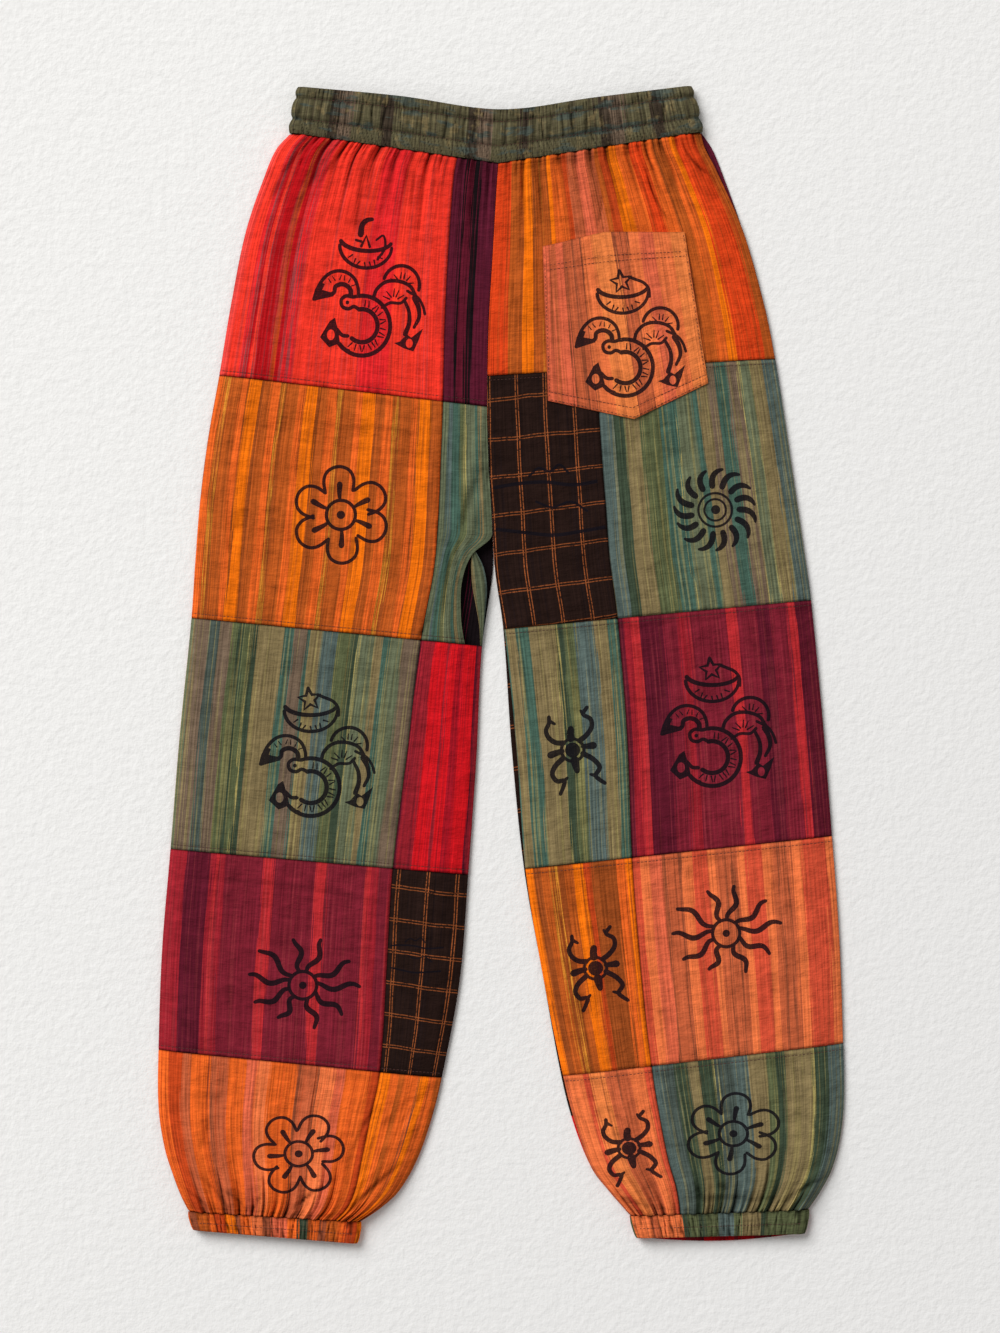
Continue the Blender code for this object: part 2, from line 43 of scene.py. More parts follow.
# The cut of the two legs, in mm. A row is one straight ruling across a leg from its outer
# to its inner edge: 0 is the waist seam, 1 to 4 the seams between patches, 5 the ankle seam.
legColumns = ("row", "outerX", "outerY", "innerY", "spread", "seam", "slipOuter", "slipInner")
legTables = {
    "left": [
        (0.00, -183.2, 460.3, 433.9, 0.0, 0.805, 0.0, 0.0),
        (0.06, -194.4, 448.2, 423.0, 0.0, 0.808, 0.0, 0.0),
        (0.15, -203.1, 430.0, 407.5, 0.0, 0.812, 0.0, 0.0),
        (0.40, -221.3, 377.1, 357.2, 0.0, 0.822, 0.0, 0.0),
        (0.70, -234.3, 313.9, 293.1, 0.0, 0.831, 0.0, 0.0),
        (1.00, -244.8, 250.7, 223.3, 0.0, 0.836, 0.0, 0.0),
        (1.25, -254.2, 197.9, 171.9, 0.0, 0.829, 0.0, 0.0),
        (1.50, -261.1, 145.1, 121.7, 0.0, 0.816, 0.0, 0.0),
        (1.75, -265.4, 92.2, 76.6, 1.0, 0.803, 0.0, 0.0),
        (2.00, -268.9, 40.3, 16.0, 9.6, 0.790, 0.0, 0.0),
        (2.50, -278.9, -59.3, -82.7, 14.6, 0.766, 0.0, 0.0),
        (3.00, -287.1, -159.8, -182.3, 21.6, 0.747, 0.0, 0.0),
        (3.50, -294.4, -247.2, -273.2, 28.9, 0.754, 0.0, 0.0),
        (4.00, -297.5, -333.8, -358.1, 44.5, 0.782, 0.0, 0.0),
        (4.35, -297.5, -383.2, -398.8, 54.9, 0.779, 0.0, 0.0),
        (4.60, -292.3, -418.7, -431.7, 67.0, 0.785, 0.0, 0.0),
        (4.80, -283.6, -446.4, -457.7, 82.6, 0.808, 0.0, 0.0),
        (4.93, -276.7, -463.7, -473.3, 100.0, 0.838, 0.0, 0.0),
        (5.00, -271.2, -473.9, -482.8, 114.7, 0.850, 0.0, 0.0),
    ],
    "right": [
        (0.00, 173.6, 461.1, 433.9, 0.0, 0.620, 1.0, 0.0),
        (0.06, 182.3, 448.2, 423.0, 0.0, 0.620, 6.0, 0.0),
        (0.15, 190.1, 430.0, 408.3, 0.0, 0.620, 4.5, 0.0),
        (0.40, 209.1, 377.1, 363.3, 0.0, 0.620, 0.0, 0.0),
        (0.70, 227.3, 313.9, 301.8, 0.0, 0.620, 0.0, 0.0),
        (1.00, 237.3, 264.9, 249.8, 0.0, 0.622, 0.0, 0.0),
        (1.25, 246.4, 207.4, 194.4, 0.0, 0.623, 0.0, 0.0),
        (1.50, 253.3, 160.6, 139.9, 0.0, 0.625, 0.0, 0.0),
        (1.75, 261.1, 107.8, 85.3, 0.8, 0.627, 0.0, 0.0),
        (2.00, 268.4, 55.9, 30.7, 8.3, 0.631, 0.0, 0.8),
        (2.50, 278.4, -46.3, -74.0, 15.7, 0.639, 0.0, 4.2),
        (3.00, 286.6, -148.5, -177.1, 26.3, 0.653, 0.0, 1.2),
        (3.50, 293.1, -238.6, -267.2, 42.1, 0.671, 0.0, 0.0),
        (4.00, 296.3, -328.3, -356.4, 58.5, 0.685, 0.0, 1.6),
        (4.35, 297.0, -377.1, -399.7, 69.8, 0.688, 0.0, 1.6),
        (4.60, 293.6, -411.8, -436.0, 84.5, 0.691, 0.0, 0.0),
        (4.80, 285.8, -439.5, -456.8, 100.1, 0.700, 0.0, 0.0),
        (4.93, 275.0, -459.4, -470.7, 112.2, 0.714, 0.0, 0.0),
        (5.00, 266.3, -472.0, -477.6, 118.3, 0.721, 0.0, 0.0),
    ],
}
legs = {side: dict(zip(legColumns, np.array(rows).T)) for side, rows in legTables.items()}
sideSign = {"left": -1, "right": 1}

# the height of the back's upper side along the leg, and how wide its shoulder at the edge is
levels = dict(zip(("row", "height", "roll"), np.array([
    (0.0, 11.4, 12.0), (0.4, 10.8, 30.0), (1.0, 10.6, 32.0), (2.0, 10.8, 32.0), (3.0, 10.6, 32.0),
    (4.0, 10.8, 30.0), (4.5, 12.4, 26.0), (4.8, 13.2, 18.0), (5.0, 11.2, 10.0),
]).T))

# the seat seam and, below it, the middle between the legs, by the drop from the waist seam
centreLine = dict(zip(("drop", "x"), np.array([
    (0, 0), (46, -3.0), (73, -4.8), (123, -7.7), (180, -11.1), (230, -12.4), (258, -12.4),
    (308, -10.8), (358, -7.9), (400, -7.0), (450, -7.0), (1010, -7.0),
]).T.astype(float)))

cut = {
    "centreTop": 480.0, "centreGap": 0.5, "seamGap": 0.3,
    "cloth": 1.2, "frontTop": 1.5, "edgeTop": 3.3, "crotchRows": (1.5, 1.95),
    "column": 2.6, "gatheredColumn": 1.5, "rowStep": 2.6,
}

# long folds: from (x0, y0) to (x1, y1), bowed sideways, raised or pressed down by a height
longFolds = [
    (-232, 206, -62, 190, 8, 8, -1.5), (-229, 134, -236, 94, 2, 7, -1.3),
    (-62, 47, -75, 18, 2, 7, -1.2), (-200, 268, -110, 262, -5, 10, 1.0),
    (86, 414, 80, 374, 2, 6.5, -1.6), (146, 424, 164, 378, -3, 7, -1.7),
    (118, 448, 196, 424, 5, 8, 1.6), (-13, 206, -46, 18, -10, 5.5, 3.0),
    (-8, 155, -37, 53, -10, 4.0, 2.4), (-12, 174, -36, 62, -9.5, 3.0, -2.4),
    (-55, -362, -134, -472, -12, 9, -2.2), (-66, -392, -138, -462, -8, 9, 1.8),
    (-268, -70, -120, -88, -7, 14, -1.1), (-270, -196, -150, -206, 6, 12, 1.0),
    (-262, -300, -118, -316, 6, 12, -1.0), (-285, -405, -180, -395, 9, 12, 1.4),
    (120, 180, 228, 166, 6, 13, -1.0), (118, 20, 255, 38, -5, 12, 1.0),
    (140, -88, 262, -104, 6, 14, -1.0), (150, -222, 275, -232, -7, 14, 1.1),
    (60, -300, 122, -318, 4, 12, -1.1), (170, -392, 280, -372, 8, 12, 1.4),
    (92, -400, 140, -430, 4, 9, -1.2),
]

# sharp creases and small ridges, in the same columns
smallCreases = [
    (-232, 208, -186, 200, 3, 1.5, -0.7), (-180, 196, -62, 196, 9, 1.6, -0.9),
    (-150, 194, -92, 192, 6, 4.0, -0.5), (-170, 228, -60, 214, 7, 2.4, -0.35),
    (-229, 134, -232, 110, 1, 1.1, -1.5), (-232, 112, -237, 96, -1, 1.1, -1.3),
    (-62, 47, -74, 20, 1.5, 1.2, -1.1), (-70, 60, -62, 40, 1, 2.0, 0.4),
    (86, 414, 81, 376, 3, 1.1, -1.8), (90, 412, 86, 384, 2, 2.4, 0.7),
    (125, 441, 148, 381, -6, 1.3, -2.0), (119, 438, 140, 384, -6, 3.0, 0.8),
    (137, 452, 153, 413, 1, 1.3, -1.5), (155, 456, 187, 421, -6, 1.3, -1.9),
    (161, 456, 190, 428, -5, 3.0, 0.8),
    (79, 442, 85, 404, 1, 1.4, -1.3), (101, 398, 118, 402, 1, 0.9, -0.6), (-3, 424, 21, 424, -1, 0.9, -0.6),
    (-42, 124, -50, 38, -1, 1.8, -1.9), (-9, 190, -15, 150, 2, 1.4, -1.2),
    (-52, 210, -58, 120, 1, 1.2, -0.6),
    (-142, 452, -180, 384, -3, 2.0, -1.3), (-134, 448, -162, 404, -3, 1.6, -1.1),
    (-166, 452, -200, 400, -4, 1.7, -1.2),
    (-150, 450, -176, 410, -3, 2.6, 0.9), (-118, 446, -126, 372, 0, 2.2, -1.1),
    (-92, 446, -100, 396, 2, 1.8, -1.0),
    (-72, 444, -78, 380, -2, 1.6, -1.2), (-84, 446, -88, 402, 1, 2.4, 0.8),
    (-58, 442, -62, 398, 2, 1.3, -0.9),
    (-290, -183, -94, -207, 4, 2.0, -0.9), (-296, -222, -200, -232, -3, 2.6, -0.5),
    (-276, -40, -130, -52, 4, 2.4, -0.4),
    (-84, -430, -134, -476, -2, 2.0, -2.3), (-90, -424, -136, -462, -3, 3.4, 1.3),
    (-278, -452, -250, -474, 2, 1.4, -1.1),
    (-263, -442, -236, -472, 3, 1.6, -1.0), (-247, -452, -219, -474, 3, 1.4, -1.2),
    (-204, -458, -216, -479, -3, 1.5, -1.3),
    (-176, -468, -150, -450, 2, 1.3, -1.4), (-184, -476, -160, -458, 3, 1.4, -1.1),
    (-164, -474, -140, -452, 2, 2.2, 0.9),
    (-284, -380, -214, -372, 3, 2.6, -0.5), (155, -462, 252, -464, 2, 2.2, -1.3),
    (186, -450, 197, -455, 1, 2.6, -1.9),
    (285, -443, 246, -465, -3, 1.7, -1.7), (288, -436, 252, -456, -3, 3.0, 1.1),
    (88, -455, 146, -471, -3, 1.5, -1.1),
    (150, -440, 170, -466, 3, 2.0, 1.0), (164, -446, 176, -468, 2, 1.6, -1.2),
    (104, -438, 124, -466, 2, 1.5, -0.9),
    (-240, 300, -228, 352, 3, 3.5, -0.5), (-216, 404, -196, 432, 2, 2.4, -0.9),
    (-205, 398, -178, 440, -3, 2.2, -0.8), (-190, 404, -168, 444, 3, 2.6, 0.7),
    (-260, -20, -246, -52, 2, 2.2, -0.5), (-200, 4, -120, -10, -4, 3.0, -0.35),
    (-274, -180, -210, -186, 3, 2.6, -0.4), (-150, -228, -96, -236, -3, 2.6, -0.35),
    (-286, -300, -262, -326, 2, 2.4, -0.5), (-230, -350, -120, -366, 5, 3.0, -0.4),
    (-104, -378, -134, -452, -7, 1.7, -1.4), (-78, -372, -126, -448, -9, 2.4, 1.0),
    (-60, -366, -100, -430, -6, 1.6, -0.9), (-250, -380, -268, -432, 3, 2.0, -0.8),
    (214, 250, 238, 246, 2, 2.0, -0.5), (196, 330, 232, 322, 3, 2.4, -0.4),
    (120, 214, 112, 188, 2, 1.6, -0.5), (232, 120, 226, 84, 2, 1.5, -0.7),
    (98, 62, 104, 40, 1, 1.6, -0.8), (86, 66, 92, 44, 1, 1.8, -0.6),
    (170, 104, 246, 96, 4, 3.0, -0.35), (240, 6, 262, -24, 2, 2.2, -0.5),
    (60, -40, 96, -46, 2, 2.4, -0.3), (120, -150, 190, -158, 3, 2.6, -0.4),
    (260, -196, 282, -236, 3, 2.2, -0.5), (110, -290, 150, -310, 2, 2.4, -0.5),
    (222, -346, 282, -360, 4, 2.2, -0.6), (140, -372, 204, -384, -4, 2.4, -0.5),
    (262, -390, 286, -424, 3, 1.8, -0.9), (84, -380, 120, -412, 3, 1.8, -0.7),
    (8, 330, 16, 292, 2, 3.0, -0.5), (30, 430, 26, 366, 3, 3.0, 0.7),
]


def through(keys, values, at):  # a smooth curve through a table's values
    at = np.clip(at, keys[0], keys[-1])
    i = np.clip(np.searchsorted(keys, at, side="right") - 1, 0, len(keys) - 2)
    low, high = np.maximum(i - 1, 0), np.minimum(i + 2, len(keys) - 1)
    span = keys[i + 1] - keys[i]
    t = (at - keys[i]) / span
    start = (values[i + 1] - values[low]) / (keys[i + 1] - keys[low]) * span
    end = (values[high] - values[i]) / (keys[high] - keys[i]) * span
    a = 2 * values[i] - 2 * values[i + 1] + start + end
    b = 3 * values[i + 1] - 3 * values[i] - 2 * start - end
    return ((a * t + b) * t + start) * t + values[i]


def ease(low, high, at):
    t = np.clip((at - low) / (high - low), 0, 1)
    return t * t * (3 - 2 * t)


def rulingEnds(side, row, front=False):
    leg, sign = legs[side], sideSign[side]
    slipOuter = 0 if front else through(leg["row"], leg["slipOuter"], row)
    slipInner = 0 if front else through(leg["row"], leg["slipInner"], row)
    innerY = through(leg["row"], leg["innerY"], row)
    centre = through(centreLine["drop"], centreLine["x"], cut["centreTop"] - innerY)
    spread = np.maximum(through(leg["row"], leg["spread"], row), 0)
    outerX = through(leg["row"], leg["outerX"], row) - sign * slipOuter
    innerX = centre + sign * (cut["centreGap"] / 2 + spread + slipInner)
    return outerX, through(leg["row"], leg["outerY"], row), innerX, innerY


def foldSum(folds, x, y):
    total = np.zeros_like(x)
    for x0, y0, x1, y1, bow, width, height in folds:
        runX, runY = x1 - x0, y1 - y0
        length = math.hypot(runX, runY)
        t = ((x - x0) * runX + (y - y0) * runY) / length ** 2
        inside = np.clip(t, 0, 1)
        across = (runX * (y - y0) - runY * (x - x0)) / length - bow * 4 * inside * (1 - inside)
        along = np.sin(math.pi * inside) ** 0.7
        total += np.where((t > 0) & (t < 1), height * along * np.exp(-(across / width) ** 2), 0)
    return total


def shoulder(distance, width):  # from 0 at an edge to 1 inside it
    return np.sin(math.pi / 2 * np.clip(distance / width, 0, 1)) ** 0.75


def backPoint(side, along, row):
    outerX, outerY, innerX, innerY = rulingEnds(side, row)
    width = np.hypot(innerX - outerX, innerY - outerY)
    roll = through(levels["row"], levels["roll"], row)
    shut = ease(*cut["crotchRows"], row)
    rise = shoulder(along * width, roll)
    rise = rise * (1 - shut * (1 - shoulder((1 - along) * width, roll)))
    x, y = outerX + (innerX - outerX) * along, outerY + (innerY - outerY) * along
    height = through(levels["row"], levels["height"], row) + foldSum(longFolds, x, y)
    return x, y, cut["edgeTop"] + (height - cut["edgeTop"]) * rise


def findOnLeg(side, x, y):  # the place along a ruling, and its row, under a point of the plan
    low = np.full_like(x, -0.2)
    high = np.full_like(x, 5.2)
    for _ in range(28):
        row = (low + high) / 2
        outerX, outerY, innerX, innerY = rulingEnds(side, row)
        turn = (innerX - outerX) * (y - outerY) - (innerY - outerY) * (x - outerX)
        below = turn * sideSign[side] > 0
        low, high = np.where(below, row, low), np.where(below, high, row)
    runX, runY = innerX - outerX, innerY - outerY
    along = ((x - outerX) * runX + (y - outerY) * runY) / (runX ** 2 + runY ** 2)
    return along, row


def ripple(x, y, wave, seed, stretch=1.0):  # a soft uneven surface from a few crossing waves
    dice = np.random.default_rng(seed)
    total = np.zeros_like(x)
    for _ in range(7):
        turn, phase = dice.uniform(0, math.pi), dice.uniform(0, 2 * math.pi)
        length = wave * dice.uniform(0.65, 1.5)
        total += np.sin(2 * math.pi * (x * math.cos(turn) + y * math.sin(turn) / stretch) / length + phase)
    return total / 7 ** 0.5


print("the cut is laid out")


# Shader maths: a Wire is one output, and an expression on wires adds its Math nodes
class Wire:
    def __init__(self, board, socket):
        self.board, self.socket = board, socket

    def maths(self, operation, first, second):
        return self.board.add("ShaderNodeMath", {"operation": operation}, {0: first, 1: second})

    def __add__(self, other):
        return self.maths("ADD", self, other)

    def __sub__(self, other):
        return self.maths("SUBTRACT", self, other)

    def __rsub__(self, other):
        return self.maths("SUBTRACT", other, self)

    def __mul__(self, other):
        return self.maths("MULTIPLY", self, other)

    def __truediv__(self, other):
        return self.maths("DIVIDE", self, other)

    def __gt__(self, other):
        return self.maths("GREATER_THAN", self, other)

    __radd__ = __add__
    __rmul__ = __mul__


class Board:  # one material and its nodes
    def __init__(self, name):
        self.material = bpy.data.materials.new(name)
        self.material.use_nodes = True
        self.tree = self.material.node_tree
        self.tree.nodes.clear()

    def add(self, kind, settings=None, sockets=None, out=0):
        node = self.tree.nodes.new(kind)
        for key, value in (settings or {}).items():
            if key == "stops":
                self.setStops(node.color_ramp, value)
            elif key == "interpolation" and kind == "ShaderNodeValToRGB":
                node.color_ramp.interpolation = value
            else:
                setattr(node, key, value)
        for key, value in (sockets or {}).items():
            if isinstance(value, Wire):
                self.tree.links.new(value.socket, node.inputs[key])
            else:
                node.inputs[key].default_value = value
        return Wire(self, node.outputs[out]) if len(node.outputs) else node

    def setStops(self, ramp, stops):
        ramp.elements[0].position, ramp.elements[0].color = stops[0]
        ramp.elements.remove(ramp.elements[1])
        for place, colour in stops[1:]:
            ramp.elements.new(place).color = colour

    def mix(self, factor, first, second, blend="MIX"):
        settings = {"data_type": "RGBA", "blend_type": blend}
        return self.add("ShaderNodeMix", settings, {0: factor, 6: first, 7: second}, out=2)

    def noise(self, vector, scale=1.0, detail=2.0, roughness=0.5):
        return self.add("ShaderNodeTexNoise", {"noise_dimensions": "3D"},
                        {"Vector": vector, "Scale": scale, "Detail": detail, "Roughness": roughness})

    def stretch(self, vector, x, y, z=0.0):
        return self.add("ShaderNodeVectorMath", {"operation": "MULTIPLY"}, {0: vector, 1: (x, y, z)})

    def maxOf(self, first, second):
        return self.add("ShaderNodeMath", {"operation": "MAXIMUM", "use_clamp": True}, {0: first, 1: second})

    def ramp(self, factor, low, high):
        return self.add("ShaderNodeMapRange", {"interpolation_type": "SMOOTHSTEP"},
                        {"Value": factor, "From Min": low, "From Max": high})


def dye(red, green, blue, alpha=1.0):  # an everyday 0 to 255 colour, as the shader wants it
    def linear(channel):
        channel = channel / 255
        return channel / 12.92 if channel < 0.04045 else ((channel + 0.055) / 1.055) ** 2.4
    return (linear(red), linear(green), linear(blue), alpha)


# the dyer's colours
dyes = {
    "scarlet": dye(236, 54, 38), "poppy": dye(222, 38, 40), "blood": dye(180, 18, 24),
    "mauve": dye(158, 62, 64), "rust": dye(186, 66, 26), "coral": dye(232, 70, 62),
    "amber": dye(236, 112, 14), "tan": dye(180, 84, 30), "brown": dye(146, 70, 28),
    "gold": dye(204, 134, 44), "orange": dye(222, 96, 34), "flame": dye(216, 66, 24),
    "sage": dye(96, 102, 78), "teal": dye(66, 92, 80), "moss": dye(86, 92, 62),
    "drab": dye(124, 108, 74), "slate": dye(70, 80, 74), "umber": dye(108, 90, 74),
    "steel": dye(82, 96, 92), "pine": dye(58, 70, 54), "cream": dye(160, 146, 88),
    "maroon": dye(118, 30, 44), "wine": dye(90, 22, 38), "cherry": dye(148, 32, 42),
    "brick": dye(178, 42, 46), "peach": dye(228, 114, 64), "apricot": dye(230, 126, 66),
    "clay": dye(190, 92, 56), "cocoa": dye(142, 72, 46), "salmon": dye(214, 98, 66),
    "rosewood": dye(206, 78, 52), "plum": dye(86, 24, 42), "ink": dye(20, 16, 22),
    "crimson": dye(178, 20, 32), "ruby": dye(206, 22, 30), "coffee": dye(36, 22, 18),
    "copper": dye(190, 104, 54), "olive": dye(92, 86, 62), "bark": dye(62, 52, 42),
    "soot": dye(22, 15, 18),
}

# The weaver's charts: each cloth is its stripes in mm from the outer or seam edge across the
# loom. Thin lines of an accent yarn run between them, and "slub" is how far yarns stray in colour.
cloths = {
    "redCloth": {
        "stripes": [("coral", 4), ("scarlet", 11), ("mauve", 1.4), ("poppy", 3), ("mauve", 2), ("blood", 3),
                    ("scarlet", 3), ("mauve", 1), ("blood", 15), ("rust", 3), ("blood", 5), ("mauve", 1.2),
                    ("poppy", 4), ("mauve", 1.5), ("poppy", 5), ("scarlet", 56), ("poppy", 26),
                    ("scarlet", 55)],
        "accent": "mauve", "accentShare": 0.34, "slub": 0.34},
    "marigoldCloth": {
        "stripes": [("amber", 11), ("brown", 2), ("tan", 7), ("orange", 8), ("brown", 1.2), ("gold", 0.9),
                    ("tan", 1.6), ("gold", 0.9), ("brown", 2), ("tan", 11), ("orange", 5), ("brown", 1.4)],
        "accent": "brown", "accentShare": 0.46, "slub": 0.4},
    "marigoldDeep": {
        "stripes": [("amber", 6), ("orange", 8), ("brown", 22), ("rust", 7), ("amber", 9), ("tan", 8),
                    ("brown", 5), ("gold", 1), ("brown", 4), ("gold", 1), ("tan", 8), ("brown", 8)],
        "accent": "brown", "accentShare": 0.46, "slub": 0.42},
    "greenCloth": {
        "stripes": [("sage", 3), ("umber", 14), ("slate", 9), ("umber", 10), ("moss", 6), ("pine", 5),
                    ("moss", 5), ("cream", 1.2), ("pine", 5), ("drab", 23), ("teal", 9), ("umber", 11),
                    ("teal", 3), ("drab", 10), ("steel", 14), ("moss", 12), ("pine", 6), ("cream", 1),
                    ("sage", 8), ("cream", 1), ("sage", 5), ("drab", 6), ("teal", 7), ("sage", 8)],
        "accent": "cream", "accentShare": 0.34, "slub": 0.42},
    "greenSide": {
        "stripes": [("steel", 13), ("drab", 12), ("cream", 1), ("sage", 9), ("cream", 1), ("umber", 12),
                    ("teal", 10), ("umber", 8), ("drab", 9), ("teal", 7), ("sage", 15), ("cream", 1),
                    ("teal", 15), ("moss", 18), ("drab", 15), ("pine", 10)],
        "accent": "cream", "accentShare": 0.34, "slub": 0.4},
    "greenFoldCloth": {
        "stripes": [("sage", 7), ("steel", 4), ("teal", 7), ("moss", 5), ("cream", 1), ("sage", 9),
                    ("teal", 4), ("drab", 4), ("sage", 8)],
        "accent": "pine", "accentShare": 0.4, "slub": 0.42},
    "greenInner": {
        "stripes": [("teal", 9), ("drab", 12), ("steel", 17), ("moss", 10), ("pine", 6), ("cream", 1),
                    ("drab", 22), ("teal", 12), ("drab", 9)],
        "accent": "cream", "accentShare": 0.36, "slub": 0.45},
    "greenAnkle": {
        "stripes": [("steel", 14), ("pine", 13), ("cream", 1), ("drab", 24), ("pine", 8), ("moss", 8),
                    ("drab", 16), ("steel", 14), ("slate", 15), ("cream", 1), ("pine", 13), ("drab", 9),
                    ("pine", 12), ("slate", 10)],
        "accent": "cream", "accentShare": 0.3, "slub": 0.42},
    "maroonCloth": {
        "stripes": [("cherry", 15), ("wine", 21), ("cherry", 5), ("brick", 3), ("cherry", 5),
                    ("maroon", 33),
                    ("brick", 9), ("maroon", 38), ("brick", 10), ("maroon", 34), ("brick", 3),
                    ("cherry", 8),
                    ("maroon", 10)],
        "accent": "mauve", "accentShare": 0.22, "slub": 0.34},
    "maroonSide": {
        "stripes": [("wine", 15), ("brick", 8), ("maroon", 15), ("wine", 13), ("maroon", 17), ("brick", 9),
                    ("maroon", 34), ("cherry", 10), ("maroon", 13), ("wine", 21), ("brick", 8),
                    ("cherry", 7)],
        "accent": "mauve", "accentShare": 0.22, "slub": 0.34},
    "peachCloth": {
        "stripes": [("peach", 7), ("rosewood", 21), ("peach", 9), ("clay", 5), ("cocoa", 1.2), ("clay", 5),
                    ("cocoa", 1.2), ("clay", 5), ("peach", 8), ("rosewood", 13), ("peach", 7), ("clay", 6),
                    ("cocoa", 1.2), ("clay", 5), ("cocoa", 1.2), ("clay", 6), ("peach", 8),
                    ("rosewood", 13),
                    ("peach", 9), ("cocoa", 2), ("clay", 13), ("cocoa", 2), ("salmon", 12)],
        "accent": "cocoa", "accentShare": 0.3, "slub": 0.32},
    "peachAnkle": {
        "stripes": [("rosewood", 7), ("peach", 12), ("clay", 11), ("cocoa", 1.2), ("clay", 10),
                    ("apricot", 14), ("rosewood", 6), ("peach", 12), ("clay", 12)],
        "accent": "cocoa", "accentShare": 0.34, "slub": 0.34},
    "pocketCloth": {
        "stripes": [("salmon", 8), ("clay", 5), ("salmon", 9), ("cocoa", 1.4), ("clay", 8), ("cocoa", 2),
                    ("clay", 7), ("cocoa", 2), ("peach", 12), ("apricot", 20), ("cocoa", 1.3), ("clay", 5),
                    ("cocoa", 1.3), ("clay", 5), ("cocoa", 1.3), ("peach", 10), ("salmon", 12),
                    ("peach", 14),
                    ("apricot", 14)],
        "accent": "cocoa", "accentShare": 0.3, "slub": 0.3},
    "emberCloth": {
        "stripes": [("orange", 9), ("rust", 12), ("clay", 8), ("orange", 17), ("cocoa", 2), ("clay", 14),
                    ("orange", 14), ("salmon", 12), ("peach", 10), ("orange", 24), ("cocoa", 3),
                    ("clay", 14),
                    ("cocoa", 1.5), ("peach", 13), ("salmon", 10), ("orange", 14)],
        "accent": "rust", "accentShare": 0.42, "slub": 0.42},
    "yokeCloth": {
        "stripes": [("tan", 8), ("flame", 10), ("flame", 15), ("amber", 8), ("orange", 8), ("tan", 9),
                    ("brown", 4), ("orange", 12), ("flame", 16), ("orange", 16), ("amber", 12), ("rust", 9),
                    ("tan", 6), ("clay", 10), ("salmon", 14), ("clay", 9), ("rust", 8), ("orange", 13),
                    ("amber", 4), ("brown", 2), ("tan", 6), ("gold", 1), ("tan", 7), ("brown", 2),
                    ("amber", 10), ("tan", 5)],
        "accent": "brown", "accentShare": 0.4, "slub": 0.38},
    "orangeCloth": {
        "stripes": [("amber", 9), ("orange", 8), ("tan", 5), ("orange", 11), ("cocoa", 2), ("amber", 8),
                    ("orange", 6), ("tan", 12)],
        "accent": "brown", "accentShare": 0.36, "slub": 0.36},
    "crimsonCloth": {
        "stripes": [("wine", 2), ("cherry", 13), ("ruby", 14), ("cherry", 3), ("ruby", 8), ("crimson", 8),
                    ("ruby", 12)],
        "accent": "wine", "accentShare": 0.34, "slub": 0.3},
    "plumCloth": {
        "stripes": [("plum", 9), ("soot", 3), ("wine", 6), ("soot", 6), ("plum", 14)],
        "accent": "wine", "accentShare": 0.4, "slub": 0.36},
    "checkCloth": {
        "stripes": [("coffee", 25)], "accent": "soot", "accentShare": 0.4, "slub": 0.3,
        "check": {"across": 25.6, "down": 33.0, "line": 0.75, "apart": 2.3, "dye": "copper", "show": 0.62}},
    "checkSmall": {
        "stripes": [("coffee", 25)], "accent": "soot", "accentShare": 0.4, "slub": 0.3,
        "check": {"across": 25.6, "down": 27.4, "line": 0.75, "apart": 2.3, "dye": "copper", "show": 0.62}},
    # near-black cloth for the hollow by the crotch: painted shadow where the front shows between the legs
    "paintedShadowCloth": {
        "stripes": [("soot", 17), ("plum", 2),
                    ("soot", 9)], "accent": "soot", "accentShare": 0.5, "slub": 0.3},
}
finish = {
    "stray": 15.0, "weft": 0.5, "crumple": 0.62, "mottle": 0.55, "bars": 0.42, "grain": 0.3, "shade": 0.74,
    "roughness": 0.94, "bump": 0.85, "bumpDepth": 0.001,
}


def stripeStops(stripes):
    total = sum(width for _, width in stripes)
    stops, place = [], 0.0
    for name, width in stripes:
        stops.append((place / total, dyes[name]))
        place += width
    return stops, total


def checkLines(board, coordinate, repeat, line, apart):  # a pair of thin lines in each repeat
    phase = board.add("ShaderNodeMath", {"operation": "FRACT"}, {0: coordinate / repeat}) * repeat
    pair = None
    for middle in (repeat / 2 - apart / 2, repeat / 2 + apart / 2):
        offset = board.add("ShaderNodeMath", {"operation": "ABSOLUTE"}, {0: phase - middle})
        one = 1 - board.ramp(offset, line * 0.3, line * 0.75)
        pair = one if pair is None else pair + one
    return pair


